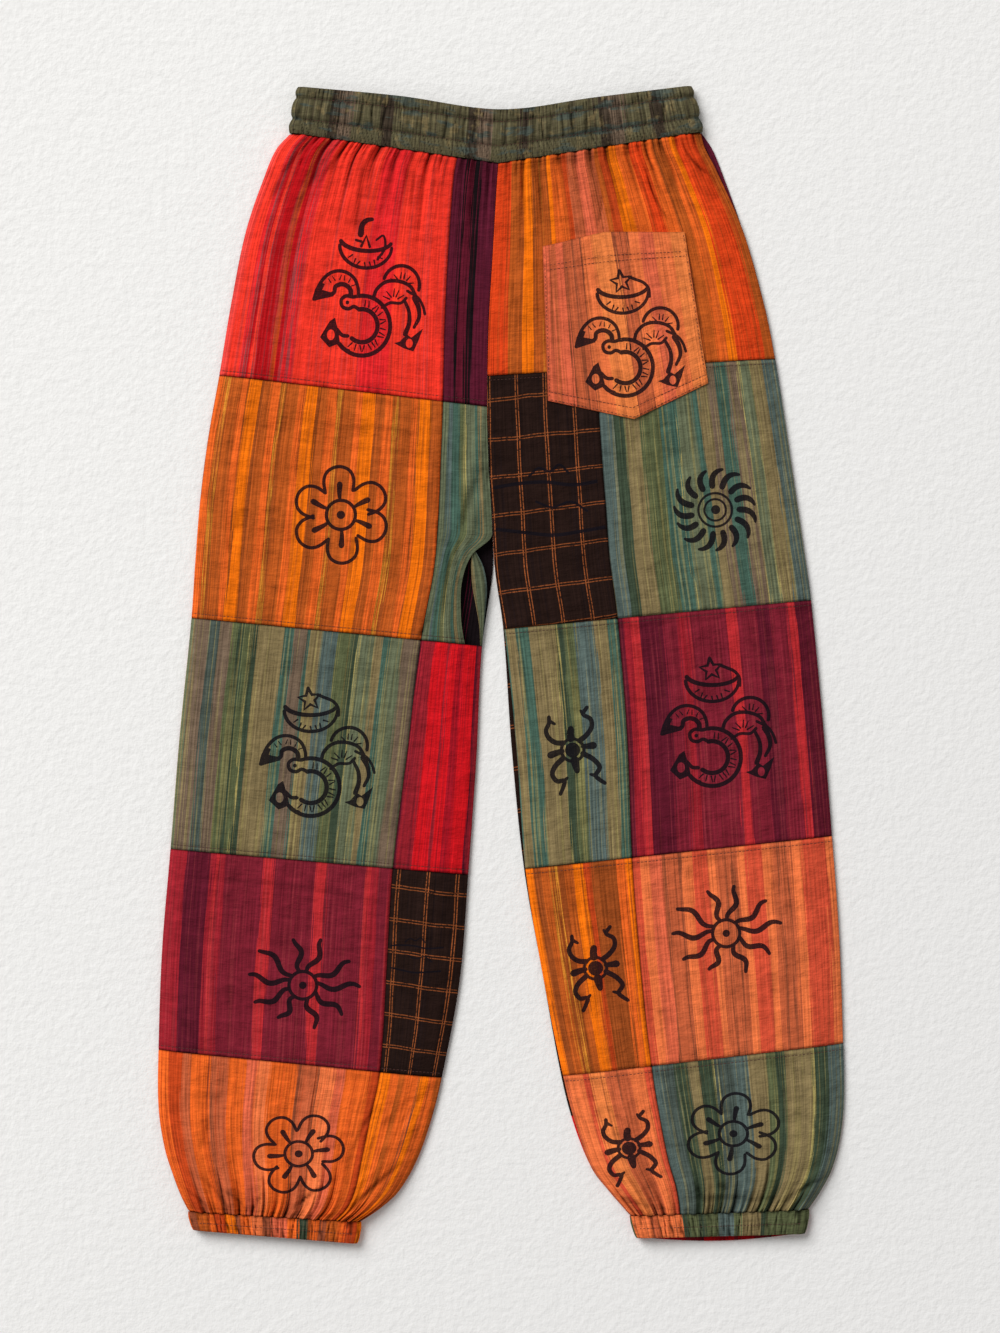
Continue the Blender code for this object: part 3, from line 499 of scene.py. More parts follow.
def weaveCloth(name, chart):
    board = Board(name)
    uv = board.add("ShaderNodeUVMap", {"uv_map": "UVMap"})
    apart = board.add("ShaderNodeSeparateXYZ", None, {0: uv})
    place = board.stretch(uv, 1000, 1000)  # mm on the cloth
    across = apart * 1000
    down = Wire(board, apart.socket.node.outputs[1]) * 1000
    wander = board.noise(board.stretch(place, 0.03, 0.012), 1.0, 2.0) - 0.5
    stops, repeat = stripeStops(chart["stripes"])
    stray = board.noise(board.stretch(place, 0.5, 0.005), 1.0, 2.0, 0.7) - 0.5
    phase = board.add("ShaderNodeMath", {"operation": "FRACT"},
                      {0: (across + wander * 3.0 + stray * chart.get("stray", finish["stray"])) / repeat})
    colour = board.add("ShaderNodeValToRGB", {"interpolation": "CONSTANT", "stops": stops}, {0: phase})
    # single yarns: long thin streaks, some of them of the accent dye
    yarn = board.noise(board.stretch(place, 0.66, 0.012), 1.0, 2.0, 0.6)
    thin = board.noise(board.stretch(place, 0.5, 0.004), 1.0, 1.0)
    colour = board.mix(board.ramp(thin, 0.55, 0.62) * chart["accentShare"], colour, dyes[chart["accent"]])
    light = (yarn - 0.5) * (chart["slub"] * 4.4)
    weft = (board.noise(board.stretch(place, 0.06, 0.8), 1.0, 2.0) - 0.5) * finish["weft"]
    crumple = board.noise(board.stretch(place, 0.07, 0.13), 1.0, 3.0, 0.64) - 0.5
    if "patchy" in chart:  # a cloth dyed in patches
        low = board.ramp(board.noise(board.stretch(place, 0.035, 0.11), 1.0, 3.0, 0.6), 0.52, 0.62)
        colour = board.mix(low * 0.8, colour, dyes[chart["patchy"][0]])
        high = board.ramp(board.noise(board.stretch(place, 0.07, 0.05), 1.3, 3.0, 0.6), 0.55, 0.66)
        colour = board.mix(high * 0.7, colour, dyes[chart["patchy"][1]])
    mottle = (board.noise(place, 0.038, 3.0, 0.6) - 0.5) * finish["mottle"]
    bars = (board.noise(board.stretch(place, 0.02, 0.16), 1.0, 3.0, 0.6) - 0.5) * finish["bars"]
    grain = (board.noise(place, 0.9, 2.0, 0.6) - 0.5) * finish["grain"]
    if "check" in chart:
        check = chart["check"]
        wave = wander * 3.0
        lines = checkLines(board, across + wave, check["across"], check["line"], check["apart"])
        tilt = across * 0.045
        rungs = checkLines(board, down + tilt + wave, check["down"], check["line"], check["apart"])
        broken = board.ramp(board.noise(place, 0.55, 2.0), 0.30, 0.52)
        colour = board.mix(board.maxOf(lines, rungs * 0.75) * (broken * check["show"]), colour, dyes[check["dye"]])
    # painted shade: the dip attribute darkens the colour in creases, seams and pleat valleys, and below zero it
    # lightens the colour as a painted highlight on ridges
    shade = board.add("ShaderNodeAttribute", {"attribute_name": "dip"}, out="Fac")
    # crumple's share of the colour is painted shade and light on the crinkles that its bumps make
    value = 1 + light + weft + mottle + grain + bars + crumple * finish["crumple"]
    value = value * (1 - shade * finish["shade"])
    tone = board.add("ShaderNodeCombineColor", None, {0: value, 1: value, 2: value})
    colour = board.mix(1.0, colour, tone, "MULTIPLY")
    ink = board.add("ShaderNodeAttribute", {"attribute_name": "ink"}, out="Fac")
    worn = board.ramp(board.noise(place, 0.75, 3.0, 0.7), 0.26, 0.42) * 0.35 + 0.6
    colour = board.mix(ink * worn, colour, dyes["ink"])
    height = crumple * 2.2 + yarn * 0.5 + weft * 0.5 + grain * 0.6
    bump = board.add("ShaderNodeBump", None, {
        "Strength": finish["bump"], "Distance": finish["bumpDepth"], "Height": height})
    shader = board.add("ShaderNodeBsdfPrincipled", None, {
        "Base Color": colour, "Roughness": finish["roughness"] - (yarn - 0.5) * 0.1, "Normal": bump,
        "Specular IOR Level": 0.06})
    board.add("ShaderNodeOutputMaterial", None, {"Surface": shader})
    return board.material


woven = {name: weaveCloth(name, chart) for name, chart in cloths.items()}
print("cloths woven:", len(woven))


# The block prints: every sign is a list of inked shapes, in mm round its own centre
def arcPoints(cx, cy, radius, start, stop, flat=1.0, step=9):
    count = max(3, int(abs(stop - start) / step) + 1)
    turns = [math.radians(start + (stop - start) * n / (count - 1)) for n in range(count)]
    return [(cx + radius * math.cos(a), cy + radius * flat * math.sin(a)) for a in turns]


def soften(points, per=4):  # more points, on a smooth curve through the ones given
    given = np.array(points, float)
    keys = np.concatenate([[0], np.cumsum(np.hypot(*np.diff(given, axis=0).T))])
    at = np.concatenate([np.linspace(keys[n], keys[n + 1], per, endpoint=False) for n in range(len(keys) - 1)])
    at = np.append(at, keys[-1])
    return list(zip(through(keys, given[:, 0], at), through(keys, given[:, 1], at)))


def inkLine(points, width, endWidth=None, swell=0.0):
    spine = np.array(points, float)
    count = len(spine)
    share = np.linspace(0, 1, count)
    half = (width + ((endWidth or width) - width) * share + swell * np.sin(math.pi * share)) / 2
    run = np.gradient(spine, axis=0)
    run /= np.maximum(np.hypot(run[:, 0], run[:, 1]), 1e-6)[:, None]
    across = np.stack([-run[:, 1], run[:, 0]], axis=1) * half[:, None]
    left, right = spine + across, spine - across
    shapes = [[right[n], right[n + 1], left[n + 1], left[n]] for n in range(count - 1)]
    for end, radius in ((0, half[0]), (-1, half[-1])):
        if radius > 0.5:
            shapes.append(arcPoints(*spine[end], radius * 0.97, 0, 315, step=45))
    return shapes


def inkDot(x, y, radius, flat=1.0):
    return [arcPoints(x, y, radius, 0, 342, flat, step=18)]


def inkTicks(cx, cy, inner, outer, start, stop, count, width=1.5):
    shapes = []
    for n in range(count):
        turn = math.radians(start + (stop - start) * n / max(count - 1, 1))
        lean = turn + 0.10 * math.sin(n * 2.3)
        ends = [(cx + r * math.cos(a), cy + r * math.sin(a)) for r, a in ((inner, turn), (outer, lean))]
        shapes += inkLine(ends, width, width * 0.6)
    return shapes


def flowerSign():
    shapes = inkLine(arcPoints(0, 0, 12.6, 0, 360), 3.0) + inkDot(0, 0, 3.7)
    for n, turn in enumerate((93, 30, -21, -88, -149, 155)):
        a = math.radians(turn)
        petal = [(20.5, 12.5), (30, 13.2), (37, 10.5), (41.2, 4), (41.4, -3.5), (37.5, -10), (30, -12.8),
                 (20.5, -11.5)]
        petal = [(r * (1 + 0.02 * math.sin(n * 2.1)), s) for r, s in petal]
        outline = [(r * math.cos(a) - s * math.sin(a), r * math.sin(a) + s * math.cos(a)) for r, s in petal]
        shapes += inkLine(soften(outline), 3.0)
        drop = [(12.5, 0), (18, 0.3), (26.5, -0.4)]
        spine = [(r * math.cos(a) - s * math.sin(a), r * math.sin(a) + s * math.cos(a)) for r, s in drop]
        shapes += inkLine(soften(spine), 2.4, 5.2)
    return shapes


def commaSunSign():
    shapes = inkLine(arcPoints(0, 0, 14.5, 0, 360), 2.1) + inkLine(arcPoints(0, 0, 9.3, 0, 360), 1.9)
    shapes += inkDot(0.4, 0.2, 4.0)
    for n in range(15):
        turn = math.radians(97 - 24 * n)
        reach = 38.5 + 1.6 * math.sin(n * 1.7)
        comma = []
        for share in (0, 0.3, 0.6, 0.85, 1.0):
            r = 20.8 + (reach - 20.8) * (share - 0.16 * share ** 3)
            a = turn - 0.30 * share ** 2.4
            comma.append((r * math.cos(a), r * math.sin(a)))
        shapes += inkLine(soften(comma, 3), 5.4, 2.4, 1.0)
    return shapes


def wavySunSign():
    shapes = inkLine(arcPoints(0, 0, 12.0, 0, 360), 3.0) + inkDot(0, 0, 3.3)
    rays = ((139, 48), (98, 40), (65, 42), (25, 45), (-2, 49), (-36, 42), (-72, 38), (-123, 35),
            (-157, 44), (171, 47))
    for n, (turn, reach) in enumerate(rays):
        turn, wave = math.radians(turn), []
        for share in np.linspace(0, 1, 9):
            r = 12.5 + (reach - 12.5) * share
            s = 2.8 * math.sin(2 * math.pi * 1.15 * share + 0.5 * n)
            wave.append((r * math.cos(turn) - s * math.sin(turn), r * math.sin(turn) + s * math.cos(turn)))
        shapes += inkLine(soften(wave, 3), 3.4, 3.2, 1.6)
    return shapes


def geckoSign():
    shapes = inkLine(arcPoints(0, 0, 9.7, 0, 360), 2.8) + inkDot(0, 0, 6.6)
    shapes += inkLine([(-1.5, 10), (-2, 14), (-1.5, 18)], 7.0, 6.0)
    shapes += inkLine([(2, -9), (3, -14), (4, -18)], 8.0, 5.0)
    shapes += inkLine([(-9, -1), (-14, -2.5), (-19, -4.5)], 4.6, 6.4)
    shapes += inkLine([(9, 3), (14, 3.5), (18, 4)], 4.0, 6.6)
    arms = [
        ([(-8, 6), (-15, 6.5), (-21, 11), (-23, 17), (-20.5, 23), (-20.5, 28.5)], [(-20, 25),
                                                                                   (-15.5, 22.5)]),
        ([(6, 8), (12, 13), (16.5, 20), (15.5, 27), (9, 31), (12.5, 37)], [(9, 31), (7, 34)]),
        ([(-8, -7), (-15, -14), (-17.5, -21), (-13.5, -27), (-7, -26.5), (-8, -32), (-10.5, -38)],
         [(-7, -26.5), (-4.5, -24)]),
        ([(9, -3), (18, -8), (23.5, -15), (20, -22), (24, -26), (28, -28.5)], [(20, -22), (15.5, -21)]),
    ]
    for arm, barb in arms:
        shapes += inkLine(soften(arm), 4.8, 3.4) + inkLine(barb, 3.6, 2.4)
    return shapes


def bowlSign(broken=False):
    shapes, boldness = [], 1.28

    def bold(points, width, endWidth=None):
        return inkLine(points, width * boldness, (endWidth or width) * boldness)
    bowl = arcPoints(0, 0, 25, 100, -140)
    shapes += bold(bowl, 2.9) + bold(arcPoints(0, 0, 13.8, 104, -128), 3.1)
    shapes += inkTicks(0, 0, 16.6, 21.8, 84, -118, 17)
    shapes += bold(soften([(-4.3, 24.6), (-9, 23.5), (-15, 24), (-19.3, 20.6), (-18, 15), (-12.5, 13.4),
                              (-8, 15.5), (-3.4, 13.6)]), 2.5) + inkDot(-13.8, 18.6, 1.7)
    shapes.append([(-36.5, -11.5), (-28, -19.5), (-18.5, -15.5), (-20.5, -6.0), (-24, 5.5), (-28.5, 2.5)])
    shapes += bold(soften([(-10.5, -21.5), (-16, -19.8), (-20, -15.5)]), 2.4)
    shapes += bold(soften([(-12, -9.2), (-17, -8.8), (-22, -4)]), 2.6)
    # the upper hook of the three
    shapes += bold(soften([(-4.5, 25), (-5, 31), (-8, 38), (-14, 42.8), (-22, 44.6), (-30, 42.5),
                              (-37, 36), (-41.5, 27), (-43.5, 20)]), 2.4)
    shapes += bold(soften([(-11, 24.5), (-11.5, 29), (-15, 32.5), (-20, 33.6), (-25, 31.4), (-26, 26.5),
                              (-30, 24), (-36, 22.4), (-43.5, 20)]), 3.4, 2.6)
    shapes += inkTicks(-21, 24, 13.5, 17.5, 128, 40, 6, 1.2)
    shapes.append([(-44.5, 21.5), (-43, 28), (-39, 35), (-34.5, 33), (-36.5, 28), (-27, 26),
                   (-26, 23.2), (-38, 20)])
    # the crescent
    shapes += bold(arcPoints(0, 66.5, 23, 182, 358, 0.80), 2.6, 2.2)
    shapes += bold(arcPoints(0, 72, 23, 196, 344, 0.42), 3.2, 2.6)
    shapes += inkTicks(0, 66.5, 14, 18.5, 215, 322, 7, 1.6)
    star = [(-1 + (r * math.sin(math.radians(a))), 76 + r * math.cos(math.radians(a)))
            for r, a in zip([10, 4.4] * 5, range(-8, 352, 36))]
    if broken:
        shapes += bold([(-4, 66), (0, 75), (3.5, 66)], 2.0) + bold([(-9, 71), (-4, 70)], 1.8)
        shapes += bold(soften([(-5, 76), (-4, 84), (0, 88), (4.5, 89)]), 4.4, 2.6)
        shapes += bold(soften([(11, 56), (17, 66), (15, 76), (9, 72)]), 2.0, 1.4)
    else:
        shapes += bold(star + star[:1], 2.2)
        shapes += bold(soften([(6, 80), (12, 77.5), (19, 74.5), (23.5, 69), (24, 62)]), 2.2)
    # the two domes at the right, with their ticks
    shapes += bold(arcPoints(33, 36, 16, 164, -14, 0.98), 2.4)
    shapes += bold(soften([(9, 24), (11.5, 31), (19, 37.5), (30, 38.8), (41, 35), (46, 27.5)]), 2.5)
    shapes += bold(soften([(17, 16), (24, 20.3), (33, 20.5), (38, 25)]), 2.1)
    shapes += inkTicks(33, 35, 6.5, 11.5, 150, 20, 6, 1.5) + inkTicks(27, 22, 4, 10.5, 160, 30, 5, 1.5)
    # the tail
    shapes += bold(soften([(38.5, 31), (48, 26), (53, 19), (55, 12.5)]), 2.0)
    shapes += bold(soften([(37, 22), (41, 13.5), (41.5, 4), (38.5, -5)]), 2.3, 3.4)
    shapes += bold(soften([(45, 25.5), (49, 18), (50, 9.5), (46, 1)]), 3.8, 2.2)
    shapes.append([(29, -13.0), (34, -11.5), (40, -5), (44, -7.5), (54, 0.5), (50.5, -10), (46.5, -19),
                   (38, -17)])
    return shapes


def barSign():  # the dark bar prints that hardly show on the check
    shapes = inkLine(soften([(-50, 20), (-30, 23.5), (-6, 25), (18, 22.5), (46, 27)]), 3.0)
    shapes += inkLine(soften([(-48, -16), (-22, -19), (2, -21), (26, -17.5), (46, -14)]), 3.0)
    shapes += inkLine(soften([(-20, 30), (-12, 37), (-2, 34), (6, 40), (14, 33)]), 2.2)
    return shapes + inkLine(soften([(-14, 8), (0, 3), (16, 8), (30, 0)]), 2.0)


signs = {
    "bowl": bowlSign, "flower": flowerSign, "commaSun": commaSunSign, "wavySun": wavySunSign,
    "gecko": geckoSign, "bar": barSign, "brokenBowl": lambda: bowlSign(True),
}
bowlHoles = [(-27.0, -9.0, 3.4), (42.5, -12.5, 3.0)]
holes = {"bowl": bowlHoles, "brokenBowl": bowlHoles}


def printSign(sign, toFlat):  # a sign's inked shapes and its pale holes, on the flat cloth
    kind, x, y, size, flat, turn = sign
    c, s = math.cos(math.radians(turn)) * size, math.sin(math.radians(turn)) * size
    inked = signs[kind]()
    bare = [inkDot(*hole, 1.3)[0] for hole in holes.get(kind, [])]
    spots = np.array([point for shape in inked + bare for point in shape], float)
    px, py = spots[:, 0], spots[:, 1]
    spots = toFlat(np.stack([x + px * c - py * s, y + (px * s + py * c) * flat], axis=1))
    cuts = np.cumsum([len(shape) for shape in inked + bare])[:-1]
    shapes = [[tuple(point) for point in part] for part in np.split(spots, cuts)]
    return shapes[:len(inked)], shapes[len(inked):]


print("block prints cut:", len(signs))


# The patches of the back. "rows" are the seam lines above and below; "edges" are the outer and
# inner ends on the rulings; a sign is its kind, place, size, squash and turn.
patches = {
    "left_outer_1": {"rows": (0, 1), "edges": ("outer", "seam"), "cloth": "redCloth", "slot": "red_stripe",
                     "gathers": (10, 1.5, 62, 0), "sign": ("brokenBowl", -120.8, 293.2, 0.98, 1.06, -3)},
    "left_outer_2": {"rows": (1, 2), "edges": ("outer", "seam"), "cloth": "marigoldCloth",
                     "slot": "marigold_stripe", "start": 22, "sign": ("flower", -139.0, 129.5, 1, 1, 0)},
    "left_outer_3": {"rows": (2, 3), "edges": ("outer", "seam"), "cloth": "greenCloth",
                     "slot": "green_stripe", "sign": ("bowl", -165.0, -106.1, 1, 1, 0)},
    "left_outer_4": {"rows": (3, 4), "edges": ("outer", "seam"), "cloth": "maroonCloth",
                     "slot": "maroon_stripe", "sign": ("wavySun", -171.9, -277.5, 1, 1, 0)},
    "left_outer_5": {"rows": (4, 5), "edges": ("outer", "seam"), "cloth": "emberCloth",
                     "slot": "peach_stripe", "gathers": (13, 1.7, 48, 5),
                     "sign": ("flower", -175.4, -423.1, 0.95, 0.89, 31)},
    "left_inner_1": {"rows": (0, 1), "edges": ("seam", "inner"), "cloth": "plumCloth", "slot": "plum_cotton",
                     "gathers": (3, 1.7, 66, 0)},
    "left_inner_2": {"rows": (1, 2), "edges": ("seam", "fold"), "cloth": "greenFoldCloth",
                     "slot": "green_stripe"},
    "left_inner_3": {"rows": (2, 3), "edges": ("seam", "inner"), "cloth": "crimsonCloth",
                     "slot": "crimson_stripe"},
    "left_inner_4": {"rows": (3, 4), "edges": ("seam", "inner"), "cloth": "checkSmall", "slot": "dark_check",
                     "start": 7, "sign": ("bar", -75.0, -256.0, 0.5, 1, -6)},
    "left_inner_5": {"rows": (4, 5), "edges": ("seam", "inner"), "cloth": "orangeCloth",
                     "slot": "orange_stripe", "gathers": (4, 1.7, 48, 5)},
    "right_yoke": {"rows": (0, 1), "edges": ("outer", "inner"), "cloth": "yokeCloth",
                   "slot": "orange_stripe", "gathers": (12, 1.5, 58, 0)},
    "right_outer_2": {"rows": (1, 2), "edges": ("outer", "seam"), "cloth": "greenSide",
                      "slot": "green_stripe", "sign": ("commaSun", 184.9, 133.8, 1, 1, 0)},
    "right_outer_3": {"rows": (2, 3), "edges": ("outer", "seam"), "cloth": "maroonSide",
                      "slot": "maroon_stripe", "sign": ("bowl", 182.3, -80.1, 1, 1, 0)},
    "right_outer_4": {"rows": (3, 4), "edges": ("outer", "seam"), "cloth": "peachCloth",
                      "slot": "peach_stripe", "sign": ("wavySun", 194.4, -232.5, 0.98, 1, 12)},
    "right_outer_5": {"rows": (4, 5), "edges": ("outer", "seam"), "cloth": "greenAnkle",
                      "slot": "green_stripe", "gathers": (11, 1.7, 48, 5),
                      "sign": ("flower", 200.5, -405.7, 0.97, 0.86, -8)},
    "right_inner_2": {"rows": (1, 2), "edges": ("seam", "inner"), "cloth": "checkCloth",
                      "slot": "dark_check", "start": 16, "sign": ("bar", 44.0, 133.0, 1, 1, 0)},
    "right_inner_3": {"rows": (2, 3), "edges": ("seam", "inner"), "cloth": "greenInner",
                      "slot": "green_stripe", "sign": ("gecko", 61.5, -74.0, 1, 1, 0)},
    "right_inner_4": {"rows": (3, 4), "edges": ("seam", "inner"), "cloth": "marigoldDeep",
                      "slot": "marigold_stripe", "sign": ("gecko", 81.4, -262.8, 1, 0.97, 0)},
    "right_inner_5": {"rows": (4, 5), "edges": ("seam", "inner"), "cloth": "peachAnkle",
                      "slot": "peach_stripe", "gathers": (5, 1.7, 48, 5),
                      "sign": ("gecko", 110.4, -418.3, 0.98, 0.88, 0)},
}
sewing = {
    "seamDip": 1.1, "seamWidth": 1.2, "stitchIn": 4.3, "stitchDip": 0.4, "stitchWidth": 0.9, "allowance": 0.4,
    "pucker": 0.42, "puckerReach": 8.0, "puckerWave": 6.4, "gathersEnd": (70, 95),
}
greenFold = dict(zip(("row", "along"), np.array([
    (1.0, 1.0), (1.5, 1.0), (1.57, 0.994), (1.66, 0.930), (1.78, 0.902), (1.9, 0.916), (2.0, 0.942)]).T))


def ends(side, patch, row):
    leg = legs[side]
    places = {
        "outer": lambda: np.zeros_like(row), "inner": lambda: np.ones_like(row),
        "seam": lambda: through(leg["row"], leg["seam"], row),
        "fold": lambda: np.minimum(through(greenFold["row"], greenFold["along"], row), 1),
    }
    return places[patch["edges"][0]](), places[patch["edges"][1]]()


def sizeOf(side, patch):  # the flat cut in mm: the widest row, and the length down the middle
    rows = np.linspace(*patch["rows"], 9)
    start, stop = ends(side, patch, rows)
    outerX, outerY, innerX, innerY = rulingEnds(side, rows)
    width = np.hypot(innerX - outerX, innerY - outerY) * (stop - start)
    middle = (start + stop) / 2
    x, y = outerX + (innerX - outerX) * middle, outerY + (innerY - outerY) * middle
    return width, float(np.sum(np.hypot(np.diff(x), np.diff(y))))


def evenPlaces(length, step, closeLow, closeHigh):
    close = [0.5, 1.1, 2.0, 3.2, 4.3, 5.4, 7.0]
    places = [0.0, length] + list(np.arange(1, int(length / step)) * length / int(length / step))
    places = [p for p in places if not (closeLow and 0 < p < 8.6) and not (closeHigh and length - 8.6 < p < length)]
    places += close if closeLow else []
    places += [length - c for c in close] if closeHigh else []
    return np.array(sorted(places)) / length


def pleatWave(phase):  # round on top and sharp in the valleys, as gathered cloth is
    return 2.2 * np.abs(np.cos(phase / 2)) ** 0.8 - 1.3


def clothHeight(name, patch, q, row):
    side = name.split("_")[0]
    top, bottom = patch["rows"]
    start, stop = ends(side, patch, row)
    along = start + (stop - start) * q
    x, y, z = backPoint(side, along, row)
    outerX, outerY, innerX, innerY = rulingEnds(side, row)
    width = np.hypot(innerX - outerX, innerY - outerY) * (stop - start)
    seamX, seamY, _ = backPoint(side, along, np.full_like(row, float(top)))
    hemX, hemY, _ = backPoint(side, along, np.full_like(row, float(bottom)))
    fromTop, fromHem = np.hypot(x - seamX, y - seamY), np.hypot(x - hemX, y - hemY)
    fromSides = [q * width, (1 - q) * width]
    dip = np.zeros_like(x)
    seed = sum(ord(c) for c in name)
    # the gathered folds, and the finer ones between them; painted shade darkens their valleys and a painted highlight
    # lightens the main ridges
    if "gathers" in patch:
        count, height, reach, atRow = patch["gathers"]
        down = fromTop if atRow == 0 else fromHem
        edge = 1 - np.abs(2 * q - 1) ** 9
        fade = 1 - ease(*sewing["gathersEnd"], down)
        size = height * (0.75 + 0.25 * np.sin(23 * q + 1 + atRow))
        far = reach * (0.72 + 0.28 * np.sin(14.5 * q + 2))
        swing = pleatWave(2 * math.pi * count * q + 0.7 * np.sin(17 * q + seed) + down * 0.012 * np.sin(29 * q))
        reachNow = np.exp(-(down / far) ** 1.5) * fade
        z = z + swing * edge * size * reachNow * 1.5
        dip += (np.clip(-swing - 0.1, 0, 1.2) * 0.75 - np.clip(swing - 0.4, 0, 1) * 0.12) * edge * reachNow
        for scale, share, length in ((1.9, 0.62, 34), (3.3, 0.44, 20), (5.6, 0.26, 10)):
            phase = scale * count * 2 * math.pi * q + 2.2 * np.sin(9 * q * scale + seed)
            phase = phase + down * 0.05 * np.sin(41 * q)
            local = length * (1 + 0.5 * np.sin(31 * q + scale + seed))
            strength = height * share * np.exp(-(down / local) ** 1.3)
            wave = pleatWave(phase)
            z = z + wave * strength * edge
            dip += np.clip(-wave - 0.1, 0, 1) * strength * edge * 0.55
    # sewn edges: the seam pulls down, the top-stitching presses a line beside it; painted shade darkens the seam
    # grooves, the pucker valleys, the stitch line and the step of the seam allowance
    calm = 1.0 - 0.7 * pocketShare(x, y) if side == "right" else 1.0
    sewnSides = [(fromTop, True, side == "right"), (fromHem, True, side == "left")]
    sewnSides += [(fromSides[n], patch["edges"][n] == "seam", False) for n in (0, 1)]
    for n, (away, sewn, stitched) in enumerate(sewnSides):
        if not sewn:
            continue
        run = x if n < 2 else y
        wave = np.sin(2 * math.pi * run / sewing["puckerWave"] + 2.6 * np.sin(run / 11 + seed) + n)
        wave = wave * (0.6 + 0.4 * np.sin(run / 17 + 2 * n + seed))
        z = z - sewing["seamDip"] * np.exp(-(away / sewing["seamWidth"]) ** 2) * calm
        z = z + wave * sewing["pucker"] * np.exp(-away / sewing["puckerReach"]) * calm
        dip += 0.75 * np.exp(-(away / 0.9) ** 2) + np.clip(-wave, 0, 1) * 0.22 * np.exp(-away / 5)
        if stitched:
            line = np.exp(-((away - sewing["stitchIn"]) / sewing["stitchWidth"]) ** 2)
            allowance = ease(0.4, 1.6, away) * (1 - ease(5.6, 7.2, away))
            z = z + (sewing["allowance"] * allowance - sewing["stitchDip"] * line) * calm
            dip += 0.4 * line + 0.2 * np.exp(-((away - 7.2) / 1.2) ** 2)
    crease = foldSum(smallCreases, x, y)
    rest = ripple(x, y, 58, seed) * 0.6 + ripple(x, y, 24, seed + 1, 0.6) * 0.26
    rest = rest + ripple(x, y, 10, seed + 2, 0.7) * 0.10
    inside = np.minimum(np.minimum(fromTop, fromHem), np.minimum(*fromSides)) / 12
    z = z + (crease + rest * np.clip(inside, 0, 1)) * calm
    # painted shade in the pressed-down creases
    dip += np.clip(-crease, 0, 2) * 0.42
    return x, y, z, np.clip(dip, -0.25, 1.25)


pocketCut = {
    "top": [(35.6, 361.7), (88.8, 372.5), (158.4, 374.2)],
    "bottom": [(40.1, 228.2), (114.7, 212.3), (178.8, 243.4)],
    "wall": 1.1, "gap": 0.75, "hem": 19.0, "step": 2.2,
}


def pocketShare(x, y):  # 1 under the pocket, 0 away from it
    return (ease(28, 36, x) * (1 - ease(172, 184, x)) * ease(214, 232, y) * (1 - ease(366, 378, y)))


def buildSheet(name, points, faces, wall, uv, dip, cloth, inked=None):
    # the upper side's points in mm; the wall goes straight down, and rims close it
    top = np.array(points, float)
    under = top.copy()
    under[:, 2] -= wall
    count = len(top)
    edges = {}
    for face in faces:
        for n, a in enumerate(face):
            b = face[(n + 1) % len(face)]
            if (b, a) in edges:
                del edges[(b, a)]
            else:
                edges[(a, b)] = True
    below = [[v + count for v in reversed(face)] for face in faces]
    rims = [[b, a, a + count, b + count] for a, b in edges]
    mesh = bpy.data.meshes.new(name)
    mesh.from_pydata((np.vstack([top, under]) * mm).tolist(), [], list(faces) + below + rims)
    mesh.validate()
    layer = mesh.uv_layers.new(name="UVMap")
    corners = np.empty(len(mesh.loops), dtype=np.int32)
    mesh.loops.foreach_get("vertex_index", corners)
    both = np.vstack([uv, uv]) * mm
    layer.data.foreach_set("uv", both[corners].astype(np.float32).ravel())
    # dip holds the painted shade per point, copied to the wall's underside
    shade = mesh.attributes.new("dip", "FLOAT", "POINT")
    shade.data.foreach_set("value", np.concatenate([dip, dip]).astype(np.float32))
    inks = np.zeros(len(mesh.polygons), np.float32)
    if inked is not None:
        inks[:len(faces)] = inked
    mesh.attributes.new("ink", "FLOAT", "FACE").data.foreach_set("value", inks)
    mesh.materials.append(woven[cloth])
    mesh.shade_smooth()
    mesh.set_sharp_from_angle(angle=math.radians(62))
    piece = bpy.data.objects.new(name, mesh)
    bpy.context.scene.collection.objects.link(piece)
    pieces[name] = piece
    return piece


def gridFaces(rows, columns):
    faces = []
    for r in range(rows - 1):
        for c in range(columns - 1):
            a = r * columns + c
            faces.append([a, a + columns, a + columns + 1, a + 1])
    return faces


def gridRim(rows, columns):  # the points round a grid, in turn
    rim = list(range(columns)) + [r * columns + columns - 1 for r in range(1, rows)]
    rim += [(rows - 1) * columns + c for c in range(columns - 2, -1, -1)]
    return (rim + [r * columns for r in range(rows - 2, 0, -1)])[::-1]


def facingUp(points, faces):
    a, b, c = (points[faces[0][n]] for n in range(3))
    turn = (b[0] - a[0]) * (c[1] - a[1]) - (b[1] - a[1]) * (c[0] - a[0])
    return faces if turn > 0 else [face[::-1] for face in faces]


def covered(shapes, spots):  # which of the spots lie in any of the shapes
    inside = np.zeros(len(spots), bool)
    for shape in shapes:
        corners = np.array(shape)
        low, high = corners.min(axis=0), corners.max(axis=0)
        near = np.flatnonzero(np.all((spots >= low) & (spots <= high), axis=1) & ~inside)
        if not len(near):
            continue
        x, y = spots[near].T
        crossings = np.zeros(len(near), bool)
        for (x0, y0), (x1, y1) in zip(corners, np.roll(corners, -1, axis=0)):
            if y0 != y1:
                crossings ^= ((y0 > y) != (y1 > y)) & (x < (x1 - x0) * (y - y0) / (y1 - y0) + x0)
        inside[near] = crossings
    return inside


def inkIntoGrid(flatPoints, boundary, shapes, bare):
    # the cloth's own points and the printed outlines, joined into one net of triangles
    points = [Vector(p) for p in flatPoints]
    outlines = []
    for shape in shapes + bare:
        first = len(points)
        outlines += [(first + n, first + (n + 1) % len(shape)) for n in range(len(shape))]
        points += [Vector(p) for p in shape]
    verts, _, faces, _, _, _ = delaunay_2d_cdt(points, outlines, [boundary], 1, 1e-4, False)
    flat, faces = np.array([(v.x, v.y) for v in verts]), [list(face) for face in faces]
    middles = np.array([flat[face].mean(axis=0) for face in faces])
    return flat, faces, (covered(shapes, middles) & ~covered(bare, middles)).astype(float)


